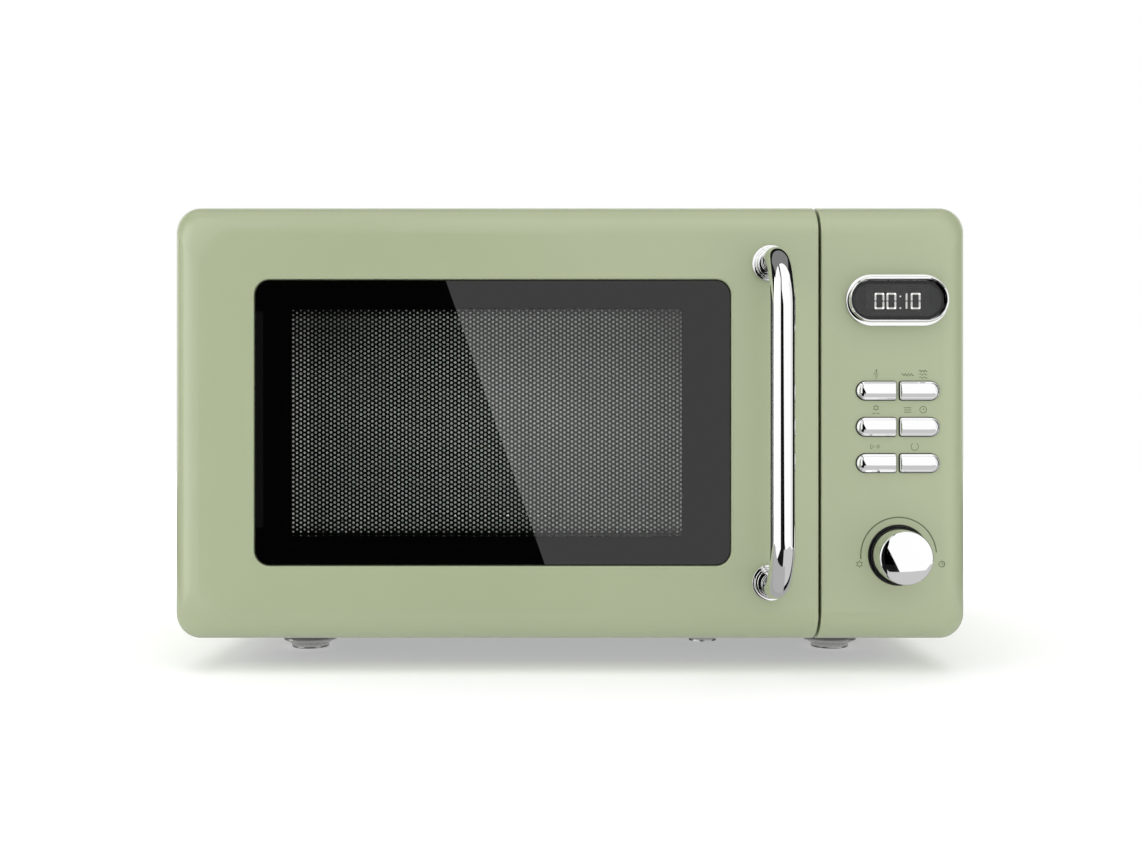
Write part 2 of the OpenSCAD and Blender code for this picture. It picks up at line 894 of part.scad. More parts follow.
// Motor shaft and three-armed coupler, which turn together.
module coupler() {
    color([0.85, 0.85, 0.82]) {
        rod_z(table_x, table_y, motor_shaft_r, cavity_z0 - 11, cavity_z0 + 2);
        rod_z(table_x, table_y, 12, cavity_z0 + 1.5, cavity_z0 + 8);
        for (a = [0, 120, 240])
            translate([table_x, table_y, 0]) rotate([0, 0, a])
                box([4, -4, cavity_z0 + 4], [20, 4, table_z - 0.4]);
    }
}

ring_r = 84;
axle_r = 1.6;

module roller_ring() {
    color([0.85, 0.85, 0.82]) translate([table_x, table_y, wheel_z]) {
        rotate_extrude() translate([ring_r - 3, -3]) square([6, 6]);
        for (a = [90, 210, 330])
            rotate([0, 0, a]) {
                rod_x(0, 0, axle_r, ring_r + 2, wheel_track_r + 5);
                rod_x(0, 0, 3.5, ring_r + 2, wheel_track_r - 4);
            }
    }
}

module wheel(a) {
    color([0.75, 0.75, 0.72]) translate([table_x, table_y, wheel_z]) rotate([0, 0, a])
        difference() {
            rod_x(0, 0, wheel_r, wheel_track_r - 3.5, wheel_track_r + 3.5);
            rod_x(0, 0, axle_r + pin_fit, wheel_track_r - 4, wheel_track_r + 4);
        }
}

module wheel_a() {
    wheel(90);
}

module wheel_b() {
    wheel(210);
}

module wheel_c() {
    wheel(330);
}

// Glass dish with a raised rim and three lugs that sit between the coupler's arms.
module turntable() {
    r = turntable_d / 2;
    color(GLASS) translate([table_x, table_y, table_z]) {
        rotate_extrude()
            polygon([[0, 0], [r - 12, 0], [r, 11], [r, 13.5], [r - 1.8, 13.5],
                [r - 13.6, 3.6], [0, 3.6]]);
        for (a = [60, 180, 300])
            rotate([0, 0, a]) box([13, -3, -5.5], [19, 3, 0]);
    }
}

// ---- Cavity fittings ----

module waveguide_cover() {
    color([0.8, 0.76, 0.66])
        along_x(cavity_x1 - 0.8, cavity_x1)
            round_rect(guide_y, guide_z0, guide_y + 80, guide_z0 + 58, 4);
}

heater_r = 3.25;
heater_z = cavity_z1 - 13;
heater_y = [20, 64];

// Sheathed grill element: two runs joined by a bend, with their ends through the side wall.
module grill_heater() {
    y_mid = (heater_y[0] + heater_y[1]) / 2;
    bend_r = (heater_y[1] - heater_y[0]) / 2;
    bend_x = cavity_x0 + 60;
    color([0.45, 0.43, 0.42]) {
        for (y = heater_y)
            rod_x(y, heater_z, heater_r, bend_x, cavity_x1 + 14);
        translate([bend_x, y_mid, heater_z])
            rotate_extrude(angle = 180, start = 90) translate([bend_r, 0]) circle(heater_r);
        for (y = heater_y, x = [bend_x + 30, cavity_x1 - 40])
            box([x - 3, y - 1, heater_z + heater_r - 0.5], [x + 3, y + 1, cavity_z1]);
    }
}

module oven_lamp() {
    x = cavity_x1 + cavity_t;
    color([0.95, 0.93, 0.85]) {
        box([x, -70, 176], [x + 1, -26, 214]);
        rod_x(-48, 196, 9, x + 1, x + 24);
        rod_x(-48, 196, 12, x + 24, x + 36);
    }
}

guide_x = 22;

module waveguide() {
    x0 = cavity_x1 + cavity_t;
    color(STEEL) difference() {
        box([x0, guide_y, guide_z0], [x0 + guide_x, guide_y + 80, guide_z0 + 96]);
        box([x0 + 1, guide_y + 1, guide_z0 + 1],
            [x0 + guide_x - 1, guide_y + 79, guide_z0 + 95]);
        box([x0 - 1, guide_y + 12, guide_z0 + 7], [x0 + 2, guide_y + 68, guide_z0 + 47]);
        rod_x(antenna_y, antenna_z, 10, x0 + 5, x0 + guide_x + 1);
    }
}

// Magnetron: antenna, mounting plate, stack of cooling fins between two yoke plates.
module magnetron() {
    x = cavity_x1 + cavity_t + guide_x;
    y = [antenna_y - 35, antenna_y + 35];
    z = [antenna_z - 30, antenna_z + 26];
    color([0.72, 0.6, 0.5]) {
        rod_x(antenna_y, antenna_z, 8, x - 14, x);
        box([x, y[0] - 4, z[0]], [x + 1.5, y[1] + 4, z[1]]);
        box([x + 1.5, y[0], z[0]], [x + 55, y[0] + 1.5, z[1]]);
        box([x + 1.5, y[1] - 1.5, z[0]], [x + 55, y[1], z[1]]);
        box([x + 53.5, y[0] + 1.5, z[0]], [x + 55, y[1] - 1.5, z[1]]);
        rod_x(antenna_y, antenna_z, 18, x + 1.5, x + 53.5);
        for (i = [0 : 6])
            box([x + 8 + i * 6, y[0] + 1.5, z[0] + 6], [x + 9 + i * 6, y[1] - 1.5, z[1] - 6]);
    }
}

module transformer() {
    color(COPPER) {
        box([132, 30, base_top + 2], [202, 90, base_top + 62]);
        box([142, 14, base_top + 12], [192, 30, base_top + 52]);
        box([142, 90, base_top + 12], [192, 106, base_top + 52]);
        box([124, 36, base_top], [210, 84, base_top + 2]);
    }
}

module capacitor() {
    color(CHROME) {
        along_y(118, 150) slot_flat();
        for (x = [158, 176])
            box([x - 3, 110, 56], [x + 3, 118, 58]);
        box([150, 120, base_top], [180, 148, base_top + 12]);
    }
}

// Rounded outline of the capacitor's can.
module slot_flat() {
    round_rect(140, base_top + 12, 194, base_top + 46, 16.9);
}

// ---- Fan ----

fan_y = [rear_y - 42, rear_y - sheet - 1];
fan_r = 40;

module fan_duct() {
    h = 46;
    color([0.2, 0.2, 0.2]) difference() {
        box([fan_x - h, fan_y[0], fan_z - h], [fan_x + h, fan_y[1], fan_z + h]);
        rod_y(fan_x, fan_z, fan_r + 3, fan_y[0] + 3, fan_y[1] + 1);
        for (q = [45 : 90 : 315])
            translate([fan_x, 0, fan_z]) rotate([0, -q, 0])
                along_y(fan_y[0] - 1, fan_y[0] + 4) fan_port();
        rod_y(fan_x, fan_z, 4, fan_y[0] - 1, fan_y[0] + 4);
    }
}

// One of the four ports between the spokes that carry the motor.
module fan_port() {
    intersection() {
        difference() {
            circle(fan_r);
            circle(17);
        }
        polygon([[4, 4], [4, 60], [60, 60], [60, 4]]);
    }
}

module fan_motor() {
    y1 = fan_y[0];
    color(COPPER) difference() {
        union() {
            box([fan_x - 24, y1 - 22, fan_z - 16], [fan_x + 24, y1, fan_z + 16]);
            box([fan_x - 14, y1 - 26, fan_z - 30], [fan_x + 14, y1 - 4, fan_z - 16]);
        }
        rod_y(fan_x, fan_z, 2 + pin_fit, y1 - 18, y1 + 1);
    }
}

module fan_impeller() {
    y = fan_y[0] + 8;
    color([0.85, 0.85, 0.82]) {
        rod_y(fan_x, fan_z, 2, fan_y[0] - 17, y + 4);
        rod_y(fan_x, fan_z, 12, y, y + 18);
        for (i = [0 : 6])
            translate([fan_x, y + 9, fan_z]) rotate([0, i * 360 / 7, 0]) rotate([38, 0, 0])
                box([10, -1, -10], [fan_r - 3, 1, 10]);
    }
}

// ---- Door interlock and other electrics ----

module latch_bracket() {
    x = [115, 137];
    color([0.9, 0.9, 0.88]) {
        difference() {
            box([x[0], cavity_y0, 48], [x[1], cavity_y0 + 2, 228]);
            along_y(cavity_y0 - 1, cavity_y0 + 3) latch_openings();
        }
        for (z = key_z, side = [0, 1])
            box([x[side] - side * 2, cavity_y0 + 2, z - 9],
                [x[side] + 2 - side * 2, cavity_y0 + 32, z + 15]);
        for (z = key_z)
            box([x[0] + 2, cavity_y0 + 2, z - 9], [x[1] - 2, cavity_y0 + 32, z - 7]);
    }
}

module interlock_switches() {
    y = cavity_y0 + 6;
    color(DARK)
        for (z = [key_z[0] - 4, key_z[1] - 14, key_z[1] + 3])
            difference() {
                box([137, y, z], [147, y + 22, z + 12]);
                rod_x(y + 5, z + 3, 1.5, 136, 148);
                rod_x(y + 17, z + 3, 1.5, 136, 148);
            }
}

module thermostat() {
    z = cavity_z1 + cavity_t;
    color(STEEL) {
        rod_z(cavity_x1 - 40, 150, 8, z, z + 6);
        box([cavity_x1 - 52, 147, z], [cavity_x1 - 48, 153, z + 1]);
        box([cavity_x1 - 48, 147, z], [cavity_x1 - 40, 153, z + 1]);
    }
}

module filter_board() {
    z = 226;
    color(BOARD) {
        box([125, 120, z], [205, 175, z + 1.6]);
        box([130, 126, z + 1.6], [152, 146, z + 18]);
        rod_z(172, 140, 10, z + 1.6, z + 14);
        for (y = [122, 173])
            box([cavity_x1 + cavity_t, y - 3, z - 1.5], [205, y + 3, z]);
    }
}

cabinet_cover();
base_plate();
rear_panel();
front_plate();
cavity();
front_feet();
middle_foot();
rear_feet();
rear_screws();
cord_gland();
hinge_lower();
hinge_upper();
door_frame();
door_glass();
door_screen();
inner_window();
door_liner();
latch_key();
latch_spring();
handle();
handle_collars();
handle_screws();
control_panel();
display_bezel();
display_lens();
display_module();
display_digits();
control_board();
tact_switches();
button_microwave();
button_grill();
button_defrost();
button_clock();
button_start();
button_stop();
knob();
knob_shaft();
encoder();
turntable_motor();
coupler();
roller_ring();
wheel_a();
wheel_b();
wheel_c();
turntable();
waveguide_cover();
grill_heater();
oven_lamp();
waveguide();
magnetron();
transformer();
capacitor();
fan_duct();
fan_motor();
fan_impeller();
latch_bracket();
interlock_switches();
thermostat();
filter_board();
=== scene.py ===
"""Looks of the countertop microwave oven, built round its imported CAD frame. Metres, +Z up, door facing -Y."""

import json
import math

import bmesh
import bpy
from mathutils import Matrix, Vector


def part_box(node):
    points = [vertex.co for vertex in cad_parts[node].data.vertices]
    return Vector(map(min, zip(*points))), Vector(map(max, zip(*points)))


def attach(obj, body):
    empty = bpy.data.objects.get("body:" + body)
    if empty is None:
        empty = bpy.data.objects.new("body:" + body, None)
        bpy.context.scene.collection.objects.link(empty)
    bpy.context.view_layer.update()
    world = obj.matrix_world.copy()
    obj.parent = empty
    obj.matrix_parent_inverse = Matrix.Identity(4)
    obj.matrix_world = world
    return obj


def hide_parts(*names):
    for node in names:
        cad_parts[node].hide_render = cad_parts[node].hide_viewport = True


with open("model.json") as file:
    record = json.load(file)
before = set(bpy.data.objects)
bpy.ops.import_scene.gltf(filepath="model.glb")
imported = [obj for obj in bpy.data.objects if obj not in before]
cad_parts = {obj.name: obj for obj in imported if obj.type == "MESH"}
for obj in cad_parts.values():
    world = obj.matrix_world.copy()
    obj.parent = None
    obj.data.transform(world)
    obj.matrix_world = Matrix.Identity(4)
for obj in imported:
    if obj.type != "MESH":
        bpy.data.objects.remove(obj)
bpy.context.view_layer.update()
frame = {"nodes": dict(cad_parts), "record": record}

MM = 0.001
ARC_STEPS = 12


# ---- Places, all read from the CAD nodes ----

def span(node):
    """Corners of a CAD node in millimetres, as (x0, y0, z0), (x1, y1, z1)."""
    low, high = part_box(node)
    return tuple(c / MM for c in low), tuple(c / MM for c in high)


door_low, door_high = span("door_frame")
panel_low, panel_high = span("control_panel")
glass_low, glass_high = span("door_glass")
screen_low, screen_high = span("door_screen")
bezel_low, bezel_high = span("display_bezel")
lens_low, lens_high = span("display_lens")
digits_low, digits_high = span("display_digits")
handle_low, handle_high = span("handle")
collars_low, collars_high = span("handle_collars")
knob_low, knob_high = span("knob")
lower_pin_low, _ = span("hinge_lower")
_, upper_pin_high = span("hinge_upper")
cavity_low, cavity_high = span("cavity")

front_y = door_low[1]
case_low = door_low[2]
case_high = door_high[2]
case_mid = (case_low + case_high) / 2
half_w = panel_high[0]
knob_x = (knob_low[0] + knob_high[0]) / 2
knob_z = (knob_low[2] + knob_high[2]) / 2
knob_r = (knob_high[0] - knob_low[0]) / 2
handle_x = (handle_low[0] + handle_high[0]) / 2
handle_r = (handle_high[0] - handle_low[0]) / 2

# Mouldings, in millimetres: wall, then the rounding of the outer edges across and deep, and of the corners
SHELL_T = 3
EDGE_R = 18
EDGE_DEPTH = 25.5
CORNER_R = 13.3
CORNER_GROWTH = 0.35
GAP_EDGE_R = 0.8
# Door: rounding and leaves at the hinge, clearance and corners of the window, ledge under the glass, and the
# sheet of the screen
HINGE_INSET = 10
LEAF_HALF = 1.25
LEAF_SLOT_HALF = 2.5
WINDOW_FIT = 0.4
WINDOW_R = 8.5
LEDGE = 7
SHEET_T = 0.8
# Control panel: clearances of the display and the buttons, the flange behind each button, and the well with
# the flare of its knob
PANEL_FIT = 1.25
PANEL_FIT_Z = 2.15
BUTTON_FIT = 0.5
FLANGE = 0.8
WELL_R = 16.7
WELL_DEPTH = 6
FLARE = 0.9
SMOOTH_ANGLE = 32


# ---- Mesh helpers ----

def link(name, data):
    """New object in the scene that holds this mesh, curve, lamp or camera."""
    obj = bpy.data.objects.new(name, data)
    bpy.context.scene.collection.objects.link(obj)
    return obj


def mesh_object(name, points, faces):
    """Closed mesh object from points in millimetres, with its faces turned outwards."""
    mesh = bpy.data.meshes.new(name)
    mesh.from_pydata([Vector(p) * MM for p in points], [], faces)
    shape = bmesh.new()
    shape.from_mesh(mesh)
    bmesh.ops.remove_doubles(shape, verts=shape.verts, dist=1e-7)
    bmesh.ops.recalc_face_normals(shape, faces=shape.faces)
    shape.to_mesh(mesh)
    shape.free()
    return link(name, mesh)


def smooth(obj, weighted=True):
    """Smooth shading with sharp edges left crisp."""
    obj.data.shade_smooth()
    obj.data.set_sharp_from_angle(angle=math.radians(SMOOTH_ANGLE))
    if weighted:
        weigh = obj.modifiers.new("weighted normals", "WEIGHTED_NORMAL")
        weigh.keep_sharp = True
    return obj


def rounded_ring(x0, x1, z0, z1, y, radii, steps=ARC_STEPS):
    """Ring round a rectangle facing -Y; radii go lower left, lower right, upper right, upper left."""
    corners = ((x0, z0, 1, 1, 180), (x1, z0, -1, 1, 270), (x1, z1, -1, -1, 0), (x0, z1, 1, -1, 90))
    ring = []
    for (x, z, sx, sz, start), r in zip(corners, radii):
        for i in range(steps + 1):
            a = math.radians(start + 90 * i / steps)
            ring.append((x + sx * r + r * math.cos(a), y, z + sz * r + r * math.sin(a)))
    return ring


def loft(name, rings, closed=False):
    """Skin over rings of equal point count; closed joins the last ring to the first in place of end caps."""
    count = len(rings[0])
    points = [p for ring in rings for p in ring]
    faces = []
    pairs = len(rings) if closed else len(rings) - 1
    for i in range(pairs):
        a = i * count
        b = (i + 1) % len(rings) * count
        for k in range(count):
            n = (k + 1) % count
            faces.append((a + k, a + n, b + n, b + k))
    if not closed:
        faces.append(tuple(range(count)))
        faces.append(tuple(range(len(points) - count, len(points))))
    return mesh_object(name, points, faces)


def lathe(name, profile, x, z, steps=96, closed=False):
    """Solid of revolution about the line along Y through (x, z), from (radius, y) points."""
    rings = [[(x + r * math.cos(2 * math.pi * k / steps), y, z + r * math.sin(2 * math.pi * k / steps))
              for k in range(steps)] for r, y in profile]
    return loft(name, rings, closed)


def upright_lathe(name, profile, x, y, steps, closed=False):
    """Solid of revolution about the upright line through (x, y), from (radius, z) points."""
    rings = [[(x + r * math.cos(2 * math.pi * k / steps), y + r * math.sin(2 * math.pi * k / steps), z)
              for k in range(steps)] for r, z in profile]
    return loft(name, rings, closed)


def carve(obj, cutter, operation="DIFFERENCE"):
    """Boolean of obj with a cutter, which is used up."""
    cut = obj.modifiers.new("cut", "BOOLEAN")
    cut.operation = operation
    cut.solver = "EXACT"
    cut.object = cutter
    bpy.context.view_layer.update()
    evaluated = obj.evaluated_get(bpy.context.evaluated_depsgraph_get())
    made = bpy.data.meshes.new_from_object(evaluated)
    obj.modifiers.clear()
    obj.data = made
    bpy.data.objects.remove(cutter)
    return obj


def block(name, low, high):
    """Box between two corners, used as a cutter."""
    (x0, y0, z0), (x1, y1, z1) = low, high
    points = [(x, y, z) for x in (x0, x1) for y in (y0, y1) for z in (z0, z1)]
    faces = [(0, 1, 3, 2), (4, 6, 7, 5), (0, 4, 5, 1), (2, 3, 7, 6), (0, 2, 6, 4), (1, 5, 7, 3)]
    return mesh_object(name, points, faces)


def soften_rims(obj, width, x_range, z_range):
    """Rounds the edges of the openings in a front face that lies within these ranges."""
    mesh = obj.data
    shape = bmesh.new()
    shape.from_mesh(mesh)
    weight = shape.edges.layers.float.new("bevel_weight_edge")
    sharp = 1
    for edge in shape.edges:
        points = [v.co / MM for v in edge.verts]
        flat = all(abs(p.y - front_y) < 0.01 for p in points)
        inside = all(x_range[0] < p.x < x_range[1] and z_range[0] < p.z < z_range[1] for p in points)
        if flat and inside and len(edge.link_faces) == 2 and edge.calc_face_angle(0) > sharp:
            edge[weight] = 1
    shape.to_mesh(mesh)
    shape.free()
    bevel = obj.modifiers.new("rims", "BEVEL")
    bevel.limit_method = "WEIGHT"
    bevel.width = width * MM
    bevel.segments = 3


def place(obj, body, slot, material, *nodes):
    """Gives a piece its material and body, and hides the CAD nodes that it stands for."""
    obj.data.materials.clear()
    obj.data.materials.append(material)
    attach(obj, body)
    if nodes:
        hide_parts(*nodes)
    return obj


# ---- Materials ----

def linear(*srgb):
    """Linear colour with alpha from 0 to 255 display values."""
    return tuple(((c / 255 + 0.055) / 1.055) ** 2.4 if c > 10 else c / 255 / 12.92 for c in srgb) + (1,)


def finish(name, colour, rough, mottle=0.04, mottle_scale=25, grain=0.0, grain_scale=900,
           rough_spread=0.04, stretch=(1, 1, 1), **sockets):
    """Procedural finish: mottled colour, uneven gloss and a fine grain in relief."""
    mat = bpy.data.materials.new(name)
    mat.use_nodes = True
    nodes = mat.node_tree.nodes
    links = mat.node_tree.links
    shader = nodes["Principled BSDF"]
    for key, value in sockets.items():
        shader.inputs[key.replace("_", " ").title().replace("Ior", "IOR")].default_value = value
    place_node = nodes.new("ShaderNodeTexCoord")
    mapping = nodes.new("ShaderNodeMapping")
    mapping.inputs["Scale"].default_value = stretch
    links.new(place_node.outputs["Object"], mapping.inputs["Vector"])
    broad = nodes.new("ShaderNodeTexNoise")
    broad.inputs["Scale"].default_value = mottle_scale
    broad.inputs["Detail"].default_value = 4
    links.new(mapping.outputs["Vector"], broad.inputs["Vector"])
    ramp = nodes.new("ShaderNodeValToRGB")
    ramp.color_ramp.elements[0].position = 0.3
    ramp.color_ramp.elements[1].position = 0.7
    ramp.color_ramp.elements[0].color = tuple(c * (1 - mottle) for c in colour[:3]) + (1,)
    ramp.color_ramp.elements[1].color = tuple(min(1, c * (1 + mottle)) for c in colour[:3]) + (1,)
    links.new(broad.outputs["Fac"], ramp.inputs["Fac"])
    links.new(ramp.outputs["Color"], shader.inputs["Base Color"])
    gloss = nodes.new("ShaderNodeMapRange")
    gloss.inputs["To Min"].default_value = max(0, rough - rough_spread)
    gloss.inputs["To Max"].default_value = rough + rough_spread
    links.new(broad.outputs["Fac"], gloss.inputs["Value"])
    links.new(gloss.outputs["Result"], shader.inputs["Roughness"])
    if grain:
        fine = nodes.new("ShaderNodeTexNoise")
        fine.inputs["Scale"].default_value = grain_scale
        links.new(mapping.outputs["Vector"], fine.inputs["Vector"])
        relief = nodes.new("ShaderNodeBump")
        relief.inputs["Strength"].default_value = grain
        relief.inputs["Distance"].default_value = 0.0002
        links.new(fine.outputs["Fac"], relief.inputs["Height"])
        links.new(relief.outputs["Normal"], shader.inputs["Normal"])
    return mat


GREEN = linear(172, 182, 148)
green_shell = finish("green_shell", GREEN, 0.3, mottle=0.01, grain=0.03, grain_scale=1500,
                     coat_weight=0.25, coat_roughness=0.12)
green_paint = finish("green_paint", GREEN, 0.36, mottle=0.012, grain=0.12, grain_scale=700,
                     coat_weight=0.2, coat_roughness=0.2)
print_green = finish("print_green", linear(98, 108, 82), 0.5, mottle=0.03)
chrome = finish("chrome", (0.9, 0.9, 0.9, 1), 0.035, mottle=0.006, rough_spread=0.015, metallic=1)
zinc_steel = finish("zinc_steel", linear(182, 184, 186), 0.36, mottle=0.07, mottle_scale=60,
                    rough_spread=0.08, stretch=(1, 12, 1), grain=0.1, metallic=1)
foot_grey = finish("foot_grey", linear(206, 207, 204), 0.22, mottle=0.04, grain=0.05, metallic=0.8)
enamel = finish("enamel", linear(176, 178, 176), 0.3, mottle=0.05, mottle_scale=400, grain=0.1,
                coat_weight=0.4)
black_screen = finish("black_screen", linear(7, 7, 7), 0.5, mottle=0.1, mottle_scale=200, grain=0.08,
                      specular_ior_level=0.1)
black_plastic = finish("black_plastic", linear(24, 24, 25), 0.5, mottle=0.1, mottle_scale=120, grain=0.3)
white_plastic = finish("white_plastic", linear(226, 225, 218), 0.42, mottle=0.03, grain=0.15)
circuit_board = finish("circuit_board", linear(38, 98, 58), 0.4, mottle=0.22, mottle_scale=300, grain=0.2)
mica = finish("mica", linear(206, 196, 166), 0.55, mottle=0.12, mottle_scale=180, grain=0.3)
heater_sheath = finish("heater_sheath", linear(110, 104, 100), 0.42, mottle=0.15, mottle_scale=140,
                       grain=0.3, metallic=0.8)
magnetron_metal = finish("magnetron_metal", linear(176, 168, 160), 0.38, mottle=0.1, grain=0.15, metallic=1)
windings = finish("windings", linear(172, 104, 56), 0.4, mottle=0.2, mottle_scale=90, grain=0.5,
                  grain_scale=500, stretch=(1, 1, 14), metallic=0.6)
door_glass = finish("door_glass", (0.55, 0.56, 0.55, 1), 0.004, mottle=0.02, rough_spread=0.004,
                    transmission_weight=1, ior=1.45)
clear_glass = finish("clear_glass", (0.9, 0.92, 0.91, 1), 0.01, mottle=0.02, rough_spread=0.008,
                     transmission_weight=1, ior=1.45)
printed_glass = finish("printed_glass", (0.0006, 0.0006, 0.0006, 1), 0.004, mottle=0.02, rough_spread=0.004,
                       ior=1.53)
lamp_glass = finish("lamp_glass", linear(236, 230, 212), 0.2, mottle=0.04, transmission_weight=0.5)
smoked_lens = finish("smoked_lens", (0.5, 0.5, 0.5, 1), 0.01, mottle=0.02, rough_spread=0.008,
                     transmission_weight=1, ior=1.45)
lit_digits = finish("lit_digits", (0.95, 0.95, 0.93, 1), 0.5, mottle=0.02,
                    emission_color=(1, 0.99, 0.97, 1), emission_strength=0.95)
SLOT_FINISH = {
    "green_paint": green_paint, "green_shell": green_shell, "chrome": chrome, "zinc_steel": zinc_steel,
    "foot_grey": foot_grey, "enamel": enamel, "door_glass": clear_glass, "dish_glass": clear_glass,
    "black_screen": black_screen, "black_plastic": black_plastic, "smoked_lens": smoked_lens,
    "lit_digits": lit_digits, "white_plastic": white_plastic, "circuit_board": circuit_board,
    "mica": mica, "heater_sheath": heater_sheath, "lamp_glass": lamp_glass,
    "magnetron_metal": magnetron_metal, "windings": windings,
}


def dress_nodes():
    """Every CAD node takes the finish of its slot in the record."""
    for entry in frame["record"]["subparts"]:
        mesh = frame["nodes"][entry["node"]].data
        mesh.materials.clear()
        mesh.materials.append(SLOT_FINISH[entry["material_slot"]])


# ---- Feet ----

def front_feet():
    """Front feet: a narrow tread under a wide collar, with a plain stem up to the base."""
    low, high = span("front_feet")
    r = (high[1] - low[1]) / 2
    y = (low[1] + high[1]) / 2
    tread = ((r - 2, 0), (r - 1.3, 0.5), (r - 1, 2.2))
    collar = ((r + 0.4, 3.4), (r + 3.6, 4.6), (r + 4, 5.4), (r + 3.8, 6))
    stem = ((r, 7), (r, high[2]))
    left, right = (smooth(upright_lathe(name, tread + collar + stem, x, y, 64))
                   for name, x in (("foot_left", low[0] + r), ("foot_right", high[0] - r)))
    place(left, "cabinet", "foot_grey", foot_grey, "front_feet")
    place(right, "cabinet", "foot_grey", foot_grey)


# ---- Door ----

def gap_inset(y):
    """How far the small rounding beside the gap draws in at this depth."""
    depth = y - front_y
    if depth >= GAP_EDGE_R:
        return 0
    return GAP_EDGE_R - math.sqrt(GAP_EDGE_R ** 2 - (GAP_EDGE_R - depth) ** 2)


def door_ring(inset, left, y, right, wall=0):
    """Ring round the door, drawn in by inset at top and bottom, by left and right, and by wall all round."""
    big = CORNER_R + CORNER_GROWTH * inset - wall
    small = GAP_EDGE_R
    return rounded_ring(
        door_low[0] + left + wall, door_high[0] - right - wall,
        case_low + inset + wall, case_high - inset - wall, y, (big, small, small, big))


def front_arc(wall, steps=18):
    """(inset, y) from the side wall round to the front face, for a wall drawn in by so much."""
    across, deep = EDGE_R - wall, EDGE_DEPTH - wall
    arc = []
    for i in range(steps + 1):
        a = math.radians(90 * i / steps)
        arc.append((across * (1 - math.cos(a)), front_y + wall + deep * (1 - math.sin(a))))
    return arc


def window_ring(grow, y, r=None):
    """Ring round the window, grown by so much."""
    radius = WINDOW_R + grow if r is None else r
    g = grow + WINDOW_FIT
    return rounded_ring(
        glass_low[0] - g, glass_high[0] + g, glass_low[2] - g, glass_high[2] + g, y, (radius,) * 4)


def door_shell():
    """Moulded front frame of the door: round outer edges, a recess for the glass and an open rear."""
    hinge_x, hinge_y = hinge_axis()
    rim = 0.5
    hinge_arc = []
    for i in range(9):
        a = math.radians(90 * i / 8)
        hinge_arc.append((HINGE_INSET * (1 - math.cos(a)), hinge_y + HINGE_INSET * math.sin(a)))
    rear_inset, rear_y = hinge_arc[-1]
    rings = [door_ring(rim, rear_inset, rear_y, rim)]
    rings += [door_ring(0, left, y, 0) for left, y in reversed(hinge_arc[:-1])]
    rings += [door_ring(inset, inset, y, gap_inset(y)) for inset, y in front_arc(0)]
    ledge_y = glass_high[1]
    lip = 0.9
    corner = 4.5
    pad_y = screen_low[1]
    for i in range(5):
        a = math.radians(90 * i / 4)
        rings.append(window_ring(lip * (1 - math.sin(a)), front_y + lip * (1 - math.cos(a))))
    rings.append(window_ring(0, ledge_y))
    rings.append(window_ring(-LEDGE, ledge_y, r=corner))
    rings.append(window_ring(-LEDGE, pad_y, r=corner))
    rings.append(window_ring(LEDGE, pad_y))
    rings.append(window_ring(LEDGE, front_y + SHELL_T))
    rings += [door_ring(inset, inset, y, 0, SHELL_T) for inset, y in reversed(front_arc(SHELL_T))]
    rings += [door_ring(0, left, y, 0, SHELL_T) for left, y in hinge_arc]
    shell = loft("door_shell", rings, closed=True)
    reach = 8
    for middle in leaf_heights():
        low = (door_low[0] - 1, hinge_y - reach, middle - LEAF_SLOT_HALF)
        high = (hinge_x + reach, door_high[1] + 1, middle + LEAF_SLOT_HALF)
        shell = carve(shell, block("slot_cutter", low, high))
    return place(smooth(shell), "door", "green_shell", green_shell, "door_frame")


def hinge_axis():
    """(x, y) of the upright hinge axis."""
    return door_low[0] + HINGE_INSET, door_high[1] - HINGE_INSET


def leaf_heights():
    """Heights of the two hinge leaves."""
    return lower_pin_low[2] + LEAF_HALF, upper_pin_high[2] - LEAF_HALF


def hinge_bosses():
    """Round bosses in the door that turn on the hinge pins."""
    x, y = hinge_axis()
    bore, outer, length = 3.06, 6.9, 16
    low, high = leaf_heights()
    for name, z0 in (("hinge_boss_lower", low + LEAF_SLOT_HALF),
                     ("hinge_boss_upper", high - LEAF_SLOT_HALF - length)):
        profile = ((bore, z0), (outer, z0), (outer, z0 + length), (bore, z0 + length))
        place(smooth(upright_lathe(name, profile, x, y, 48, closed=True)), "door", "green_shell", green_shell)


# Perforated field, in millimetres: distance between columns and between holes in a column, the holes' radius
# at the ends of the columns, next to them and elsewhere, and the field's width, its margins below and above
# within the glass, and its shift across
COLUMN_PITCH = 2.07
HOLE_PITCH = 2.48
END_HOLE_R = 0.5
NEXT_HOLE_R = 0.62
HOLE_R = 0.78
FIELD_W = 214
FIELD_LOW = 15.3
FIELD_HIGH = 15.1
FIELD_SHIFT = -3.3


def field_middle():
    """Middle of the perforated field across the door."""
    return (glass_low[0] + glass_high[0]) / 2 + FIELD_SHIFT


def field_ring(grow, y):
    """Ring round the perforated field, grown by so much."""
    x = field_middle()
    corner = 1.5
    return rounded_ring(x - FIELD_W / 2 - grow, x + FIELD_W / 2 + grow, glass_low[2] + FIELD_LOW - grow,
                        glass_high[2] - FIELD_HIGH + grow, y, (corner,) * 4)


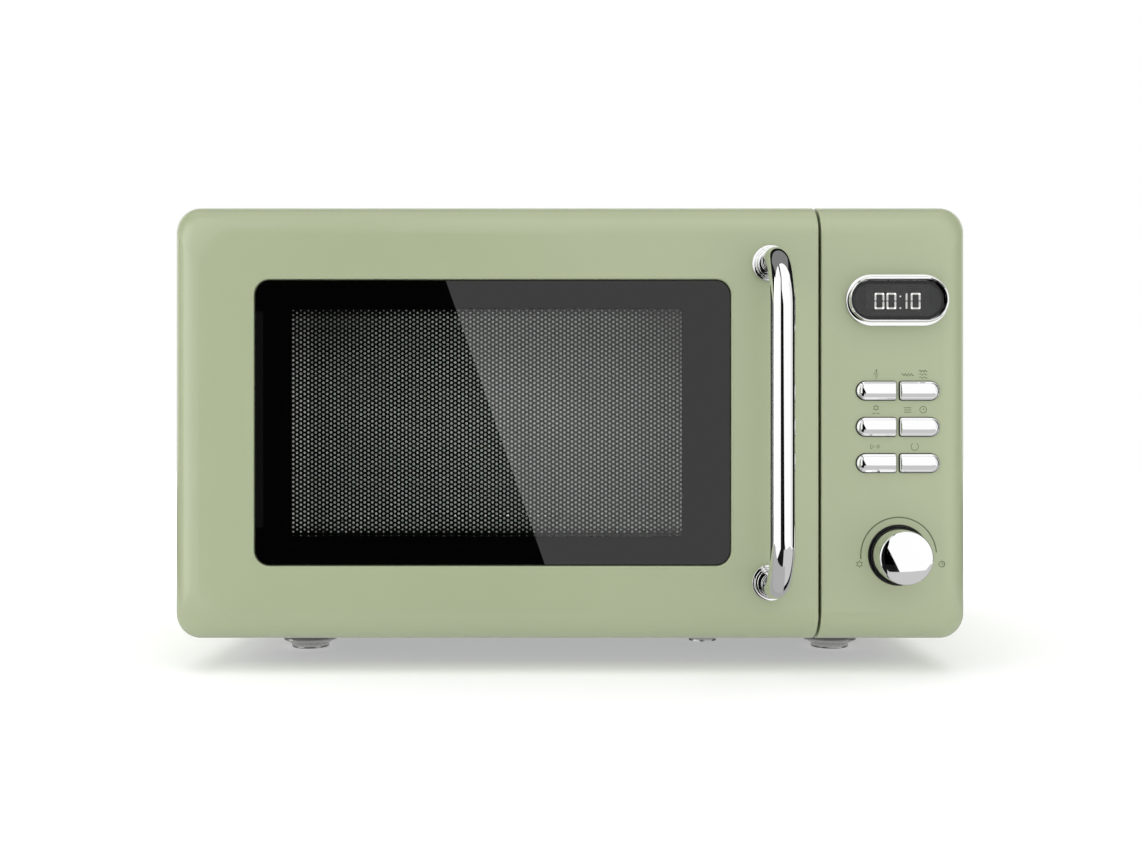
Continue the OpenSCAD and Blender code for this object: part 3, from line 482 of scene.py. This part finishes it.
def glass_pane():
    """Door glass with a ground edge, clear over the perforated field, and the black print on its rear."""
    print_t = 0.15
    print_gap = 0.02
    grind = 0.35
    clear = -0.4
    profile = ((grind, glass_low[1]), (0, glass_low[1] + grind), (0, glass_high[1] - print_t - grind),
               (grind, glass_high[1] - print_t))
    rings = [field_ring(clear, glass_low[1])]
    rings += [window_ring(-WINDOW_FIT - d, y) for d, y in profile]
    pane = place(smooth(loft("door_pane", rings)), "door", "door_glass", door_glass, "door_glass")
    pane.data.materials.append(printed_glass)
    # The two end faces are clear, and the faces between them are the border over the print
    for face in pane.data.polygons:
        face.material_index = int(len(face.vertices) == 4)
    outer = -WINDOW_FIT - grind
    y0, y1 = glass_high[1] - print_t + print_gap, glass_high[1]
    rings = [window_ring(outer, y0), field_ring(clear, y0), field_ring(clear, y1), window_ring(outer, y1)]
    place(smooth(loft("pane_print", rings, closed=True)), "door", "black_screen", black_screen)


def hole_radius(row, rows, column):
    """Holes shrink towards the top and bottom of the field, and every other one is left out at its end."""
    edge = min(row, rows - 1 - row)
    if edge == 0:
        return END_HOLE_R if column % 2 == 0 else 0
    return NEXT_HOLE_R if edge == 1 else HOLE_R


def perforated_screen():
    """Choke pan behind the glass: a thin plate with a hexagonal field of holes, and a rim to the rear."""
    y_front = screen_low[1]
    y_back = y_front + SHEET_T
    x_mid = field_middle()
    z0 = glass_low[2] + FIELD_LOW
    columns = int(FIELD_W / COLUMN_PITCH) + 1
    rows = int((glass_high[2] - FIELD_HIGH - z0) / HOLE_PITCH) + 1
    tip = (COLUMN_PITCH ** 2 + (HOLE_PITCH / 2) ** 2) / (2 * COLUMN_PITCH)
    side = COLUMN_PITCH - tip
    half = HOLE_PITCH / 2
    cell = ((tip, 0), (side, half), (-side, half), (-tip, 0), (-side, -half), (side, -half))
    points = []
    corner_index = {}
    faces = []

    def corner(x, z):
        """Index of a cell's corner in the front face, shared by its neighbours; the rear one comes next."""
        key = (round(x, 3), round(z, 3))
        if key not in corner_index:
            corner_index[key] = len(points)
            points.append((x, y_front, z))
            points.append((x, y_back, z))
        return corner_index[key]

    for i in range(columns):
        x = x_mid + (i - (columns - 1) / 2) * COLUMN_PITCH
        for j in range(rows):
            z = z0 + (j + (i % 2) / 2) * HOLE_PITCH
            outer = [corner(x + dx, z + dz) for dx, dz in cell]
            r = hole_radius(j, rows, i)
            if r == 0:
                faces.append(tuple(outer))
                faces.append(tuple(k + 1 for k in reversed(outer)))
                continue
            inner = []
            for k in range(6):
                a = math.radians(60 * k)
                inner.append(len(points))
                points.append((x + r * math.cos(a), y_front, z + r * math.sin(a)))
                points.append((x + r * math.cos(a), y_back, z + r * math.sin(a)))
            for k in range(6):
                n = (k + 1) % 6
                faces.append((outer[k], outer[n], inner[n], inner[k]))
                faces.append((outer[n] + 1, outer[k] + 1, inner[k] + 1, inner[n] + 1))
                faces.append((inner[k], inner[n], inner[n] + 1, inner[k] + 1))
    mesh = bpy.data.meshes.new("perforated_screen")
    mesh.from_pydata([Vector(p) * MM for p in points], [], faces)
    shape = bmesh.new()
    shape.from_mesh(mesh)
    # The outer border of each side of the plate, filled up to the field and joined round the edge
    grow = LEDGE - 2 - WINDOW_FIT
    borders = []
    for y in (y_front, y_back):
        verts = [shape.verts.new(Vector(p) * MM) for p in window_ring(grow, y, r=WINDOW_R)]
        border = [shape.edges.new((verts[k], verts[(k + 1) % len(verts)])) for k in range(len(verts))]
        field = [e for e in shape.edges
                 if e.is_boundary and all(abs(v.co.y / MM - y) < 0.001 for v in e.verts)]
        bmesh.ops.triangle_fill(shape, use_beauty=True, use_dissolve=False, edges=border + field)
        borders.append(verts)
    front, back = borders
    for k in range(len(front)):
        n = (k + 1) % len(front)
        shape.faces.new((front[k], front[n], back[n], back[k]))
    bmesh.ops.recalc_face_normals(shape, faces=shape.faces)
    shape.to_mesh(mesh)
    shape.free()
    place(link("perforated_screen", mesh), "door", "black_screen", black_screen, "door_screen")
    rear_y = screen_high[1]
    inner = grow - SHEET_T
    inner_r = WINDOW_R - SHEET_T
    rim = [window_ring(grow, y_back, r=WINDOW_R), window_ring(grow, rear_y, r=WINDOW_R),
           window_ring(inner, rear_y, r=inner_r), window_ring(inner, y_back, r=inner_r)]
    place(smooth(loft("screen_rim", rim, closed=True)), "door", "black_screen", black_screen)


def handle_tube():
    """Bar handle: one round tube with a bend at each end, standing on the door."""
    x, r = handle_x, handle_r
    bend = 27
    y_bar = handle_low[1] + r
    z0, z1 = handle_low[2] + r, handle_high[2] - r
    steps = 64
    turns = 28
    # The middle line as (y, z) and its direction, from the lower foot to the upper one
    path = [((front_y, z0), (-1, 0)), ((y_bar + bend, z0), (-1, 0))]
    for i in range(1, turns + 1):
        a = math.radians(90 * i / turns)
        path.append(((y_bar + bend - bend * math.sin(a), z0 + bend - bend * math.cos(a)),
                     (-math.cos(a), math.sin(a))))
    for i in range(turns + 1):
        a = math.radians(90 * i / turns)
        path.append(((y_bar + bend - bend * math.cos(a), z1 - bend + bend * math.sin(a)),
                     (math.sin(a), math.cos(a))))
    path.append(((front_y, z1), (1, 0)))
    rings = []
    for (y, z), (ty, tz) in path:
        ring = []
        for k in range(steps):
            a = 2 * math.pi * k / steps
            across = r * math.sin(a)
            ring.append((x + r * math.cos(a), y + across * tz, z - across * ty))
        rings.append(ring)
    place(smooth(loft("handle_tube", rings), weighted=False), "door", "chrome", chrome, "handle")


def rounded_steps(steps_out, r_inner, y_base):
    """Profile of stacked discs with softened edges, from (radius, height) pairs, round a bore."""
    soft = 0.35
    profile = [(r_inner, y_base)]
    y = y_base
    for r, top in steps_out:
        y_top = y_base - top
        profile.append((r, y))
        profile.append((r, y_top + soft))
        for i in (1, 2, 3):
            a = math.radians(30 * i)
            profile.append((r - soft * (1 - math.cos(a)), y_top + soft * (1 - math.sin(a))))
        y = y_top
    profile.append((r_inner, y))
    return profile


def handle_collars():
    """Stepped collar round each foot of the handle."""
    r = (collars_high[0] - collars_low[0]) / 2
    clearance = 0.05
    heights = (collars_low[2] + r, collars_high[2] - r)
    steps = ((r, 2), (r - 1.3, 3.6), (r - 2.3, 5.5))
    profile = rounded_steps(steps, handle_r + clearance, front_y)
    parts = [lathe(f"collar_{i}", profile, handle_x, z, closed=True) for i, z in enumerate(heights)]
    place(smooth(parts[0]), "door", "chrome", chrome, "handle_collars")
    place(smooth(parts[1]), "door", "chrome", chrome)


# ---- Control panel ----

def panel_ring(inset, y, wall=0):
    """Ring round the control panel, whose outer side is on the right."""
    big = CORNER_R + CORNER_GROWTH * inset - wall
    small = GAP_EDGE_R
    return rounded_ring(
        panel_low[0] + gap_inset(y) + wall, half_w - inset - wall,
        case_low + inset + wall, case_high - inset - wall, y, (small, big, big, small))


def pill_ring(low, high, dx, dz, y, steps=20):
    """Ring with half-round ends, drawn in from a node's box by dx and dz."""
    x0, x1 = low[0] + dx, high[0] - dx
    z0, z1 = low[2] + dz, high[2] - dz
    r = (z1 - z0) / 2 - 0.001
    return rounded_ring(x0, x1, z0, z1, y, (r,) * 4, steps)


BUTTONS = ("microwave", "grill", "defrost", "clock", "start", "stop")


def button_shape(name):
    """Middle, half width, half height and side (-1 left, 1 right) of a button's face."""
    low, high = span("button_" + name)
    x0, x1 = low[0] + FLANGE, high[0] - FLANGE
    z0, z1 = low[2] + FLANGE, high[2] - FLANGE
    side = 1 if BUTTONS.index(name) % 2 else -1
    return (x0 + x1) / 2, (z0 + z1) / 2, (x1 - x0) / 2, (z1 - z0) / 2, side


def button_ring(name, grow, y, flat_grow=None):
    """Ring round a button's face: half round at its outer end and nearly square at its flat inner one."""
    x, z, w, h, side = button_shape(name)
    flat = grow if flat_grow is None else flat_grow
    outer = h + grow - 0.001
    inner = min(max(0.25, 1.1 + grow), outer)
    radii = (outer, inner, inner, outer) if side < 0 else (inner, outer, outer, inner)
    left, right = (grow, flat) if side < 0 else (flat, grow)
    return rounded_ring(x - w - left, x + w + right, z - h - grow, z + h + grow, y, radii, 16)


def panel_shell():
    """Moulded control panel with its openings and the round well of the knob."""
    rear_y = panel_high[1]
    rings = [panel_ring(0.4, rear_y), panel_ring(0, rear_y - 0.4)]
    rings += [panel_ring(inset, y) for inset, y in front_arc(0)]
    outer = loft("panel_shell", rings)
    inner_rings = [panel_ring(0, rear_y + 1, SHELL_T)]
    inner_rings += [panel_ring(inset, y, SHELL_T) for inset, y in front_arc(SHELL_T)]
    panel = carve(outer, loft("inside_cutter", inner_rings))
    floor_y = front_y + WELL_DEPTH
    wall = 2
    boss_r = WELL_R + wall
    shaft_r = 4.5
    boss = lathe("well_boss", ((boss_r, front_y + 1), (boss_r, floor_y + wall)), knob_x, knob_z)
    panel = carve(panel, boss, "UNION")
    panel = carve(panel, lathe("well_cutter", ((WELL_R, front_y - 1), (WELL_R, floor_y)), knob_x, knob_z))
    shaft_hole = ((shaft_r, front_y), (shaft_r, floor_y + wall + 1))
    panel = carve(panel, lathe("shaft_cutter", shaft_hole, knob_x, knob_z, 48))
    through = (front_y - 1, front_y + SHELL_T + 1)
    display_hole = [pill_ring(bezel_low, bezel_high, PANEL_FIT, PANEL_FIT_Z, y) for y in through]
    panel = carve(panel, loft("display_cutter", display_hole))
    for name in BUTTONS:
        panel = carve(panel, loft("button_cutter", [button_ring(name, BUTTON_FIT, y) for y in through]))
    rim_r = 0.3
    soften_rims(panel, rim_r, (panel_low[0] + 4, half_w - EDGE_R), (case_low + EDGE_R, case_high - EDGE_R))
    return place(smooth(panel), "cabinet", "green_shell", green_shell, "control_panel")


def display_bezel():
    """Chrome ring round the display: a thin foot on the panel and a crowned wall with a ledge inside."""
    foot_y = front_y - 1.5
    top_y = bezel_low[1]
    # How far in from the bezel's box across and up, and how far down from its top
    crown = ((1.15, 1.65, 1.1), (1.22, 1.72, 0.6), (1.42, 1.95, 0.2), (1.75, 2.4, 0),
             (2.05, 2.85, 0.15), (2.28, 3.12, 0.5), (2.35, 3.25, 1.1))
    profile = [(1.45, 2.35, bezel_high[1]), (1.45, 2.35, front_y), (0, 0, front_y), (0, 0, foot_y + 0.4),
               (0.15, 0.15, foot_y + 0.12), (0.45, 0.45, foot_y), (1.15, 1.65, foot_y)]
    profile += [(dx, dz, top_y + down) for dx, dz, down in crown]
    profile += [(2.35, 3.25, lens_high[1]), (4.35, 5.25, lens_high[1]), (4.35, 5.25, bezel_high[1])]
    rings = [pill_ring(bezel_low, bezel_high, dx, dz, y) for dx, dz, y in profile]
    place(smooth(loft("bezel_ring", rings, closed=True)), "cabinet", "chrome", chrome, "display_bezel")


def display_lens():
    """Smoked lens with softened edges."""
    soft = 0.25
    profile = ((soft, lens_low[1]), (0, lens_low[1] + soft), (0, lens_high[1]))
    rings = [pill_ring(lens_low, lens_high, d, d, y) for d, y in profile]
    place(smooth(loft("lens_pane", rings)), "cabinet", "smoked_lens", smoked_lens, "display_lens")


def bar_shape(x0, z0, x1, z1, cut):
    """Eight-sided outline of one lit bar, with its corners cut."""
    return [(x0 + cut, z0), (x1 - cut, z0), (x1, z0 + cut), (x1, z1 - cut),
            (x1 - cut, z1), (x0 + cut, z1), (x0, z1 - cut), (x0, z0 + cut)]


def display_figures():
    """Lit bars of the four figures and the colon between them."""
    w, h, b = 5.25, digits_high[2] - digits_low[2], 0.9
    gap, bar_cut = 0.26, 0.22
    dot, dot_cut = 0.9, 0.28
    low = (digits_low[0], digits_low[2])
    starts = (0, 6.5, 12.55, 19.65)
    half = h / 2
    bars = {
        "top": (gap, h - b, w - gap, h), "bottom": (gap, 0, w - gap, b),
        "upper_left": (0, half + gap, b, h - gap), "lower_left": (0, gap, b, half - gap),
        "upper_right": (w - b, half + gap, w, h - gap), "lower_right": (w - b, gap, w, half - gap),
    }
    nought = tuple(bars)
    one = ("upper_right", "lower_right")
    shapes = [bar_shape(start + bars[k][0], bars[k][1], start + bars[k][2], bars[k][3], bar_cut)
              for start, figure in zip(starts, (nought, nought, one, nought)) for k in figure]
    colon_x = 13.55
    shapes += [bar_shape(colon_x, z, colon_x + dot, z + dot, dot_cut) for z in (0.1, 6.5)]
    points, faces = [], []
    for outline in shapes:
        base = len(points)
        n = len(outline)
        for y in (digits_low[1], digits_high[1]):
            points += [(low[0] + px, y, low[1] + pz) for px, pz in outline]
        faces.append(tuple(range(base, base + n)))
        faces.append(tuple(range(base + 2 * n - 1, base + n - 1, -1)))
        faces += [(base + k, base + (k + 1) % n, base + n + (k + 1) % n, base + n + k) for k in range(n)]
    place(mesh_object("lit_figures", points, faces), "cabinet", "lit_digits", lit_digits, "display_digits")


def buttons():
    """Six chrome buttons with pillowed faces; each keeps its flange and stem behind the panel."""
    pillow_r = 6.4
    groove = 0.14
    flange_y = front_y + SHELL_T + 0.2
    flange_t = 1.2
    stem_half = 2
    for name in BUTTONS:
        low, high = span("button_" + name)
        x, z, _, half, _ = button_shape(name)

        def crown(inset):
            """Depth of the pillowed face this far in from its edge."""
            return low[1] + pillow_r - math.sqrt(pillow_r ** 2 - (half - inset) ** 2)

        profile = [(0, crown(0.3) + 0.34), (0.06, crown(0.3) + 0.14), (0.18, crown(0.3) + 0.04)]
        profile += [(d, crown(d)) for d in (0.3, 0.6, 0.95)]
        profile += [(1.05, crown(1.0) + groove), (1.17, crown(1.15) + groove)]
        profile += [(d, crown(d)) for d in (1.27, 1.6, 2, 2.4, 2.8, 3.2, 3.6, 4, 4.4, half - 0.1)]
        rings = [button_ring(name, -0.001, flange_y + flange_t), button_ring(name, 0, flange_y)]
        rings += [button_ring(name, -d, y, -min(d, 0.3 + d / 12)) for d, y in profile]
        cap = loft("cap_" + name, rings)
        flange = loft("flange_cutter", [button_ring(name, FLANGE, flange_y + d) for d in (0, flange_t)])
        cap = carve(cap, flange, "UNION")
        stem = block("stem_cutter", (x - stem_half, flange_y + 1, z - stem_half),
                     (x + stem_half, high[1], z + stem_half))
        cap = carve(cap, stem, "UNION")
        place(smooth(cap), "button_" + name, "chrome", chrome, "button_" + name)


def well_shadow_ring():
    """Black ring that fills the well round the knob: painted shade, a dark piece that stands in for the shadow
    in the gap between the well and the knob.
    """
    y = front_y + 0.9
    depth = 4
    bore = knob_r + FLARE + 0.2
    profile = ((bore, y + depth), (bore, y + 0.2), (bore + 0.2, y), (WELL_R - 0.3, y), (WELL_R, y + 0.3),
               (WELL_R, y + depth))
    ring = lathe("well_shadow_ring", profile, knob_x, knob_z, closed=True)
    # The black here is painted shade for the shadowed gap round the knob.
    place(smooth(ring), "cabinet", "black_plastic", black_plastic)


def button_gap_shades():
    """Black seat round each button that fills most of the gap to the panel: painted shade, a dark piece that
    stands in for the shadow in the gap round the button.
    """
    y0, y1 = front_y + 0.3, front_y + 2.9
    play = 0.07
    for name in BUTTONS:
        rings = [button_ring(name, grow, y)
                 for grow, y in ((play, y0), (BUTTON_FIT, y0), (BUTTON_FIT, y1), (play, y1))]
        # The black here is painted shade for the shadowed gap round each button.
        place(smooth(loft("gap_shade_" + name, rings, closed=True)), "cabinet", "black_plastic", black_plastic)


def knob_cap():
    """Chrome knob: side flared to its base, small rounded shoulder, domed face and bore for the shaft."""
    r = knob_r
    front, back = knob_low[1], knob_high[1]
    dome_r = 70
    sag = dome_r - math.sqrt(dome_r ** 2 - r ** 2)
    shoulder = 1.1
    profile = [(r + 0.4, back), (r + FLARE, front_y + 0.6), (r, front + sag + shoulder)]
    for i in range(1, 7):
        a = math.radians(13 * i)
        profile.append((r - shoulder * (1 - math.cos(a)), front + sag + shoulder * (1 - math.sin(a)) - 0.05))
    rim_r = profile[-1][0]
    dome_steps = 15
    for i in range(1, dome_steps):
        rr = rim_r * (1 - i / dome_steps)
        profile.append((rr, front + dome_r - math.sqrt(dome_r ** 2 - rr ** 2)))
    cap = lathe("knob_cap", profile, knob_x, knob_z, 128)
    bore_r = 3.05
    bore = lathe("bore_cutter", ((bore_r, front + 12), (bore_r, back + 1)), knob_x, knob_z, 48)
    place(smooth(carve(cap, bore)), "knob", "chrome", chrome, "knob")


# ---- Printed marks ----

def arc_points(x, z, r, start, end, steps=24):
    """Points on an arc, in degrees from the right, counter-clockwise."""
    return [(x + r * math.cos(math.radians(start + (end - start) * i / steps)),
             z + r * math.sin(math.radians(start + (end - start) * i / steps))) for i in range(steps + 1)]


def wave_points(x, z, length, height, count):
    """Wave with this many periods."""
    return [(x - length / 2 + length * i / (8 * count), z + height / 2 * math.sin(math.pi * i / 4))
            for i in range(8 * count + 1)]


def sun(x, z, r):
    """Circle with six short rays."""
    rays = [[(x + k * r * math.cos(a), z + k * r * math.sin(a)) for k in (1, 1.75)]
            for a in (math.radians(30 + 60 * i) for i in range(6))]
    return [arc_points(x, z, r, 0, 360, 16)] + rays


def clock_face(x, z, r):
    """Circle with two hands."""
    return [arc_points(x, z, r, 0, 360), [(x, z + r * 0.6), (x, z), (x + r * 0.5, z)]]


def printed_marks(name, strokes, width):
    """Thin printed lines, almost flush with the panel."""
    curve = bpy.data.curves.new(name, "CURVE")
    curve.dimensions = "3D"
    curve.bevel_depth = width / 2 * MM
    curve.bevel_resolution = 1
    curve.use_fill_caps = True
    sunk = width * 0.3
    for stroke in strokes:
        spline = curve.splines.new("POLY")
        spline.points.add(len(stroke) - 1)
        for point, (x, z) in zip(spline.points, stroke):
            point.co = (x * MM, (front_y + sunk) * MM, z * MM, 1)
    place(link(name, curve), "cabinet", "green_shell", print_green)


def panel_marks():
    """Generic symbols over the buttons and beside the knob, and the arc over the knob."""
    mid = button_shape("defrost")[0] / 2 + button_shape("clock")[0] / 2
    above = 9
    left, near, far = mid - 11.8, mid + 5.4, mid + 13.9
    z = button_shape("microwave")[1] + above
    bolt = ((0.5, 2.8), (-1.2, -0.1), (0, -0.2), (-0.2, -2.7), (1.2, 0.3), (0.2, 0.4), (0.5, 2.8))
    strokes = [[(left + dx, z + dz) for dx, dz in bolt],
               wave_points(near, z - 0.3, 6.5, 1.4, 4),
               wave_points(far, z + 1.7, 4.4, 1.1, 3), wave_points(far, z - 0.1, 4.4, 0.8, 2),
               wave_points(far, z - 1.8, 4.4, 0.8, 2)]
    z = button_shape("defrost")[1] + above
    strokes += sun(left, z + 1.4, 1)
    strokes += [arc_points(left + dx, z - 2.3, 0.8, 20, 160, 8) for dx in (-1.1, 1.1)]
    strokes += [[(near - 2, z + dz), (near + 2, z + dz)] for dz in (-1, 0.2, 1.4)]
    strokes += clock_face(far, z + 0.4, 1.8)
    z = button_shape("start")[1] + above
    strokes += [[(left - 2.9, z - 1.2), (left - 2.9, z + 1.2), (left - 0.9, z), (left - 2.9, z - 1.2)],
                [(left + 0.4, z), (left + 1.2, z + 1), (left + 2, z), (left + 1.2, z - 1), (left + 0.4, z)],
                arc_points(mid + 9.3, z, 2, 120, 420)]
    z = knob_z - 4.9
    strokes += sun(knob_x - 21.3, z, 1.2)
    strokes += clock_face(knob_x + 23.5, z, 1.6)
    printed_marks("panel_symbols", strokes, 0.52)
    scale_r = 20.6
    printed_marks("knob_scale", [arc_points(knob_x, knob_z, scale_r, 4, 186, 60)], 1)


# ---- Studio ----

def emissive(name, strength):
    """Plain glowing card."""
    mat = bpy.data.materials.new(name)
    mat.use_nodes = True
    shader = mat.node_tree.nodes["Principled BSDF"]
    shader.inputs["Base Color"].default_value = (0, 0, 0, 1)
    shader.inputs["Specular IOR Level"].default_value = 0
    shader.inputs["Emission Color"].default_value = (1, 1, 1, 1)
    shader.inputs["Emission Strength"].default_value = strength
    return mat


def card(name, corners, strength, gloss=True, diffuse=True):
    """Soft light card from corners in metres, never seen directly, only in reflections and by its light."""
    mesh = bpy.data.meshes.new(name)
    mesh.from_pydata(corners, [], [tuple(range(len(corners)))])
    obj = link(name, mesh)
    mesh.materials.append(emissive(name, strength))
    obj.visible_camera = False
    obj.visible_glossy = gloss
    obj.visible_diffuse = diffuse
    obj.visible_shadow = diffuse
    return obj


def only_lights(obj, receivers):
    """Light linking: the card shows and shines on these pieces alone."""
    group = bpy.data.collections.new(obj.name + "_receivers")
    for piece in receivers:
        group.objects.link(piece)
    obj.light_linking.receiver_collection = group


def floor_white():
    """Pale floor that glows a little, more so with distance, and so runs into the white background."""
    mat = finish("floor_white", (0.8, 0.8, 0.8, 1), 0.8, mottle=0.004, emission_color=(1, 1, 1, 1),
                 specular_ior_level=0)
    nodes, links = mat.node_tree.nodes, mat.node_tree.links
    place_node = nodes.new("ShaderNodeTexCoord")
    far = nodes.new("ShaderNodeVectorMath")
    far.operation = "LENGTH"
    links.new(place_node.outputs["Object"], far.inputs[0])
    glow = nodes.new("ShaderNodeMapRange")
    glow.inputs["From Min"].default_value = 0.25
    glow.inputs["From Max"].default_value = 1.4
    glow.inputs["To Min"].default_value = 0.31
    glow.inputs["To Max"].default_value = 1
    links.new(far.outputs["Value"], glow.inputs["Value"])
    links.new(glow.outputs["Result"], nodes["Principled BSDF"].inputs["Emission Strength"])
    return mat


# Camera: its distance from the front face in metres, lens and shift
CAMERA_GAP = 0.75
LENS = 43.5
SHIFT_Y = -0.0039
# Light cards, in metres: the plane of the front ones, how far they reach aside, below and above, the dark gap
# between them, how near the level ones come to the object, and the height of the overhead ones
CARD_Y = -1.3
REACH = 2.2
BOTTOM, TOP = -0.35, 1.9
GAP_LEFT, GAP_RIGHT = -0.54, -0.3
NEAR_Y = -0.22
OVERHEAD_Z = 1.5
FRONT_CARD = 1.1


def camera():
    """Camera straight in front of the middle of the case."""
    data = bpy.data.cameras.new("camera")
    data.lens = LENS
    data.sensor_width = 36
    data.shift_y = SHIFT_Y
    obj = link("camera", data)
    obj.location = (0, front_y * MM - CAMERA_GAP, case_mid * MM)
    obj.rotation_euler = (math.pi / 2, 0, 0)
    bpy.context.scene.camera = obj
    return obj


def facing(x0, x1, y, z0, z1):
    """Corners of an upright rectangle across the room."""
    return [(x0, y, z0), (x1, y, z0), (x1, y, z1), (x0, y, z1)]


def sideways(x, y0, y1, z0, z1):
    """Corners of an upright rectangle along the side of the room."""
    return [(x, y0, z0), (x, y1, z0), (x, y1, z1), (x, y0, z1)]


def level(x0, x1, y0, y1, z):
    """Corners of a level rectangle."""
    return [(x0, y0, z), (x1, y0, z), (x1, y1, z), (x0, y1, z)]


def right_edge(z):
    """Left edge of the right front card, as chrome shows it: it leans to the left with height."""
    edge_x, edge_z, lean = 0.104, 0.128, -0.5
    return edge_x + (z - edge_z) * lean


def mirrored(x, z, eye):
    """Where the ray from the eye by way of the glass point (x, z) in millimetres meets the cards' plane."""
    glass_y = glass_low[1] * MM
    k = 1 + (glass_y - CARD_Y) / (glass_y - eye.y)
    return x * MM * k, eye.z + (z * MM - eye.z) * k


def front_cards(eye):
    """Front cards, with a gap that gives the chrome its dark lines, and two for the glass alone."""
    low_edge, high_edge = right_edge(BOTTOM), max(right_edge(TOP), GAP_RIGHT)
    bend_z = 0.94
    card("card_right", [(low_edge, CARD_Y, BOTTOM), (REACH, CARD_Y, BOTTOM), (REACH, CARD_Y, TOP),
                        (high_edge, CARD_Y, TOP), (GAP_RIGHT, CARD_Y, bend_z)], FRONT_CARD)
    card("card_left", facing(-REACH, GAP_LEFT, CARD_Y, BOTTOM, TOP), FRONT_CARD)
    # The right card goes on to the left for the flat glass, up to the slanted edge of its reflection
    width = glass_high[0] - glass_low[0]
    slant_x, slant_z = mirrored(glass_low[0] + 0.401 * width, glass_high[2], eye)
    foot_x, foot_z = mirrored(glass_low[0] + 0.61 * width, glass_low[2], eye)
    lean = (slant_x - foot_x) / (slant_z - foot_z)
    z0, z1 = foot_z - 0.1, slant_z + 0.1
    behind, overlap = CARD_Y - 0.002, 0.02
    slanted = card("card_glass", [(foot_x + (z0 - foot_z) * lean, behind, z0),
                                  (right_edge(z0) + overlap, behind, z0),
                                  (right_edge(z1) + overlap, behind, z1),
                                  (foot_x + (z1 - foot_z) * lean, behind, z1)], FRONT_CARD)
    only_lights(slanted, [bpy.data.objects["door_pane"]])
    # A dim strip along the glass's left edge
    side_x, _ = mirrored(glass_low[0] + 4.5, case_mid, eye)
    _, side_z = mirrored(0, glass_high[2] - 17, eye)
    side = card("card_glass_side", facing(GAP_LEFT, side_x, CARD_Y, side_z - 0.3, side_z), 0.09)
    only_lights(side, [bpy.data.objects["door_pane"]])
    # Shown in chrome only: the cards carry on over the top and below the floor
    for name, z, edge in (("roof", TOP, high_edge), ("underfloor", BOTTOM, low_edge)):
        card("card_" + name + "_right", level(edge, REACH, CARD_Y, NEAR_Y, z), FRONT_CARD, diffuse=False)
        card("card_" + name + "_left", level(-REACH, GAP_LEFT, CARD_Y, NEAR_Y, z), FRONT_CARD, diffuse=False)


def room_cards():
    """Cards at the sides, overhead and behind, and mats in place of the floor for the chrome to show."""
    right_end, left_end, rear_end = -0.35, 0.1, 1.2
    fill_top = 1.3
    back_y = 1.8
    card("card_far_right", sideways(REACH, CARD_Y, right_end, BOTTOM, TOP), 0.9)
    card("card_far_left", sideways(-REACH, CARD_Y, left_end, BOTTOM, TOP), 1.7)
    card("fill_right", sideways(REACH, right_end, rear_end, 0, fill_top), 0.7, gloss=False)
    card("fill_left", sideways(-REACH, left_end, rear_end, 0, fill_top), 2.6, gloss=False)
    card("card_top", level(-1.2, 1.2, -1.1, 0.9, OVERHEAD_Z), 1.65, gloss=False)
    card("ceiling", level(-1.2, 1.2, NEAR_Y, 1, OVERHEAD_Z), 0.22, diffuse=False)
    card("card_back", facing(-REACH, REACH, back_y, 0, OVERHEAD_Z), 0.9)
    on_floor, below = 0.001, -0.08
    card("mat_knob", level(0.1, 0.7, -0.6, -0.15, below), 0.62, diffuse=False)
    card("mat_door", level(-0.4, 0.13, -0.24, -0.15, on_floor), 0.45, diffuse=False)
    card("mat_under", level(-0.5, 0.5, -0.15, 0.4, on_floor), 0.4, diffuse=False)


def pale_floor():
    """Wide floor, left out of reflections."""
    mesh = bpy.data.meshes.new("floor")
    mesh.from_pydata(level(-4, 4, -0.62, 3, 0), [], [(0, 1, 2, 3)])
    floor = link("floor", mesh)
    mesh.materials.append(floor_white())
    floor.visible_glossy = False


def background():
    """White behind the object, and nearly no light of its own."""
    world = bpy.data.worlds.new("studio")
    bpy.context.scene.world = world
    world.use_nodes = True
    nodes, links = world.node_tree.nodes, world.node_tree.links
    seen = nodes["Background"]
    seen.inputs["Color"].default_value = (1, 1, 1, 1)
    room = nodes.new("ShaderNodeBackground")
    room.inputs["Color"].default_value = (0.01, 0.01, 0.01, 1)
    path = nodes.new("ShaderNodeLightPath")
    mix = nodes.new("ShaderNodeMixShader")
    links.new(path.outputs["Is Camera Ray"], mix.inputs["Fac"])
    links.new(room.outputs[0], mix.inputs[1])
    links.new(seen.outputs[0], mix.inputs[2])
    links.new(mix.outputs[0], nodes["World Output"].inputs["Surface"])


def oven_light():
    """Level lamp under the cavity's ceiling, which lights the holes of the screen from inside."""
    light = bpy.data.lights.new("oven_light", "AREA")
    light.shape = "RECTANGLE"
    light.size = 0.22
    light.size_y = 0.16
    light.energy = 1.3
    lamp = bpy.data.objects.new("oven_light", light)
    lamp.location = ((cavity_low[0] + cavity_high[0]) / 2 * MM, (cavity_low[1] + 130) * MM,
                     (cavity_high[2] - 8) * MM)
    lamp.visible_camera = False
    bpy.context.scene.collection.objects.link(lamp)


dress_nodes()
eye = camera().location
front_feet()
door_shell()
hinge_bosses()
glass_pane()
perforated_screen()
handle_tube()
handle_collars()
panel_shell()
display_bezel()
display_lens()
display_figures()
buttons()
button_gap_shades()
well_shadow_ring()
knob_cap()
panel_marks()
front_cards(eye)
room_cards()
pale_floor()
background()
oven_light()
bpy.context.scene.view_settings.view_transform = "Standard"
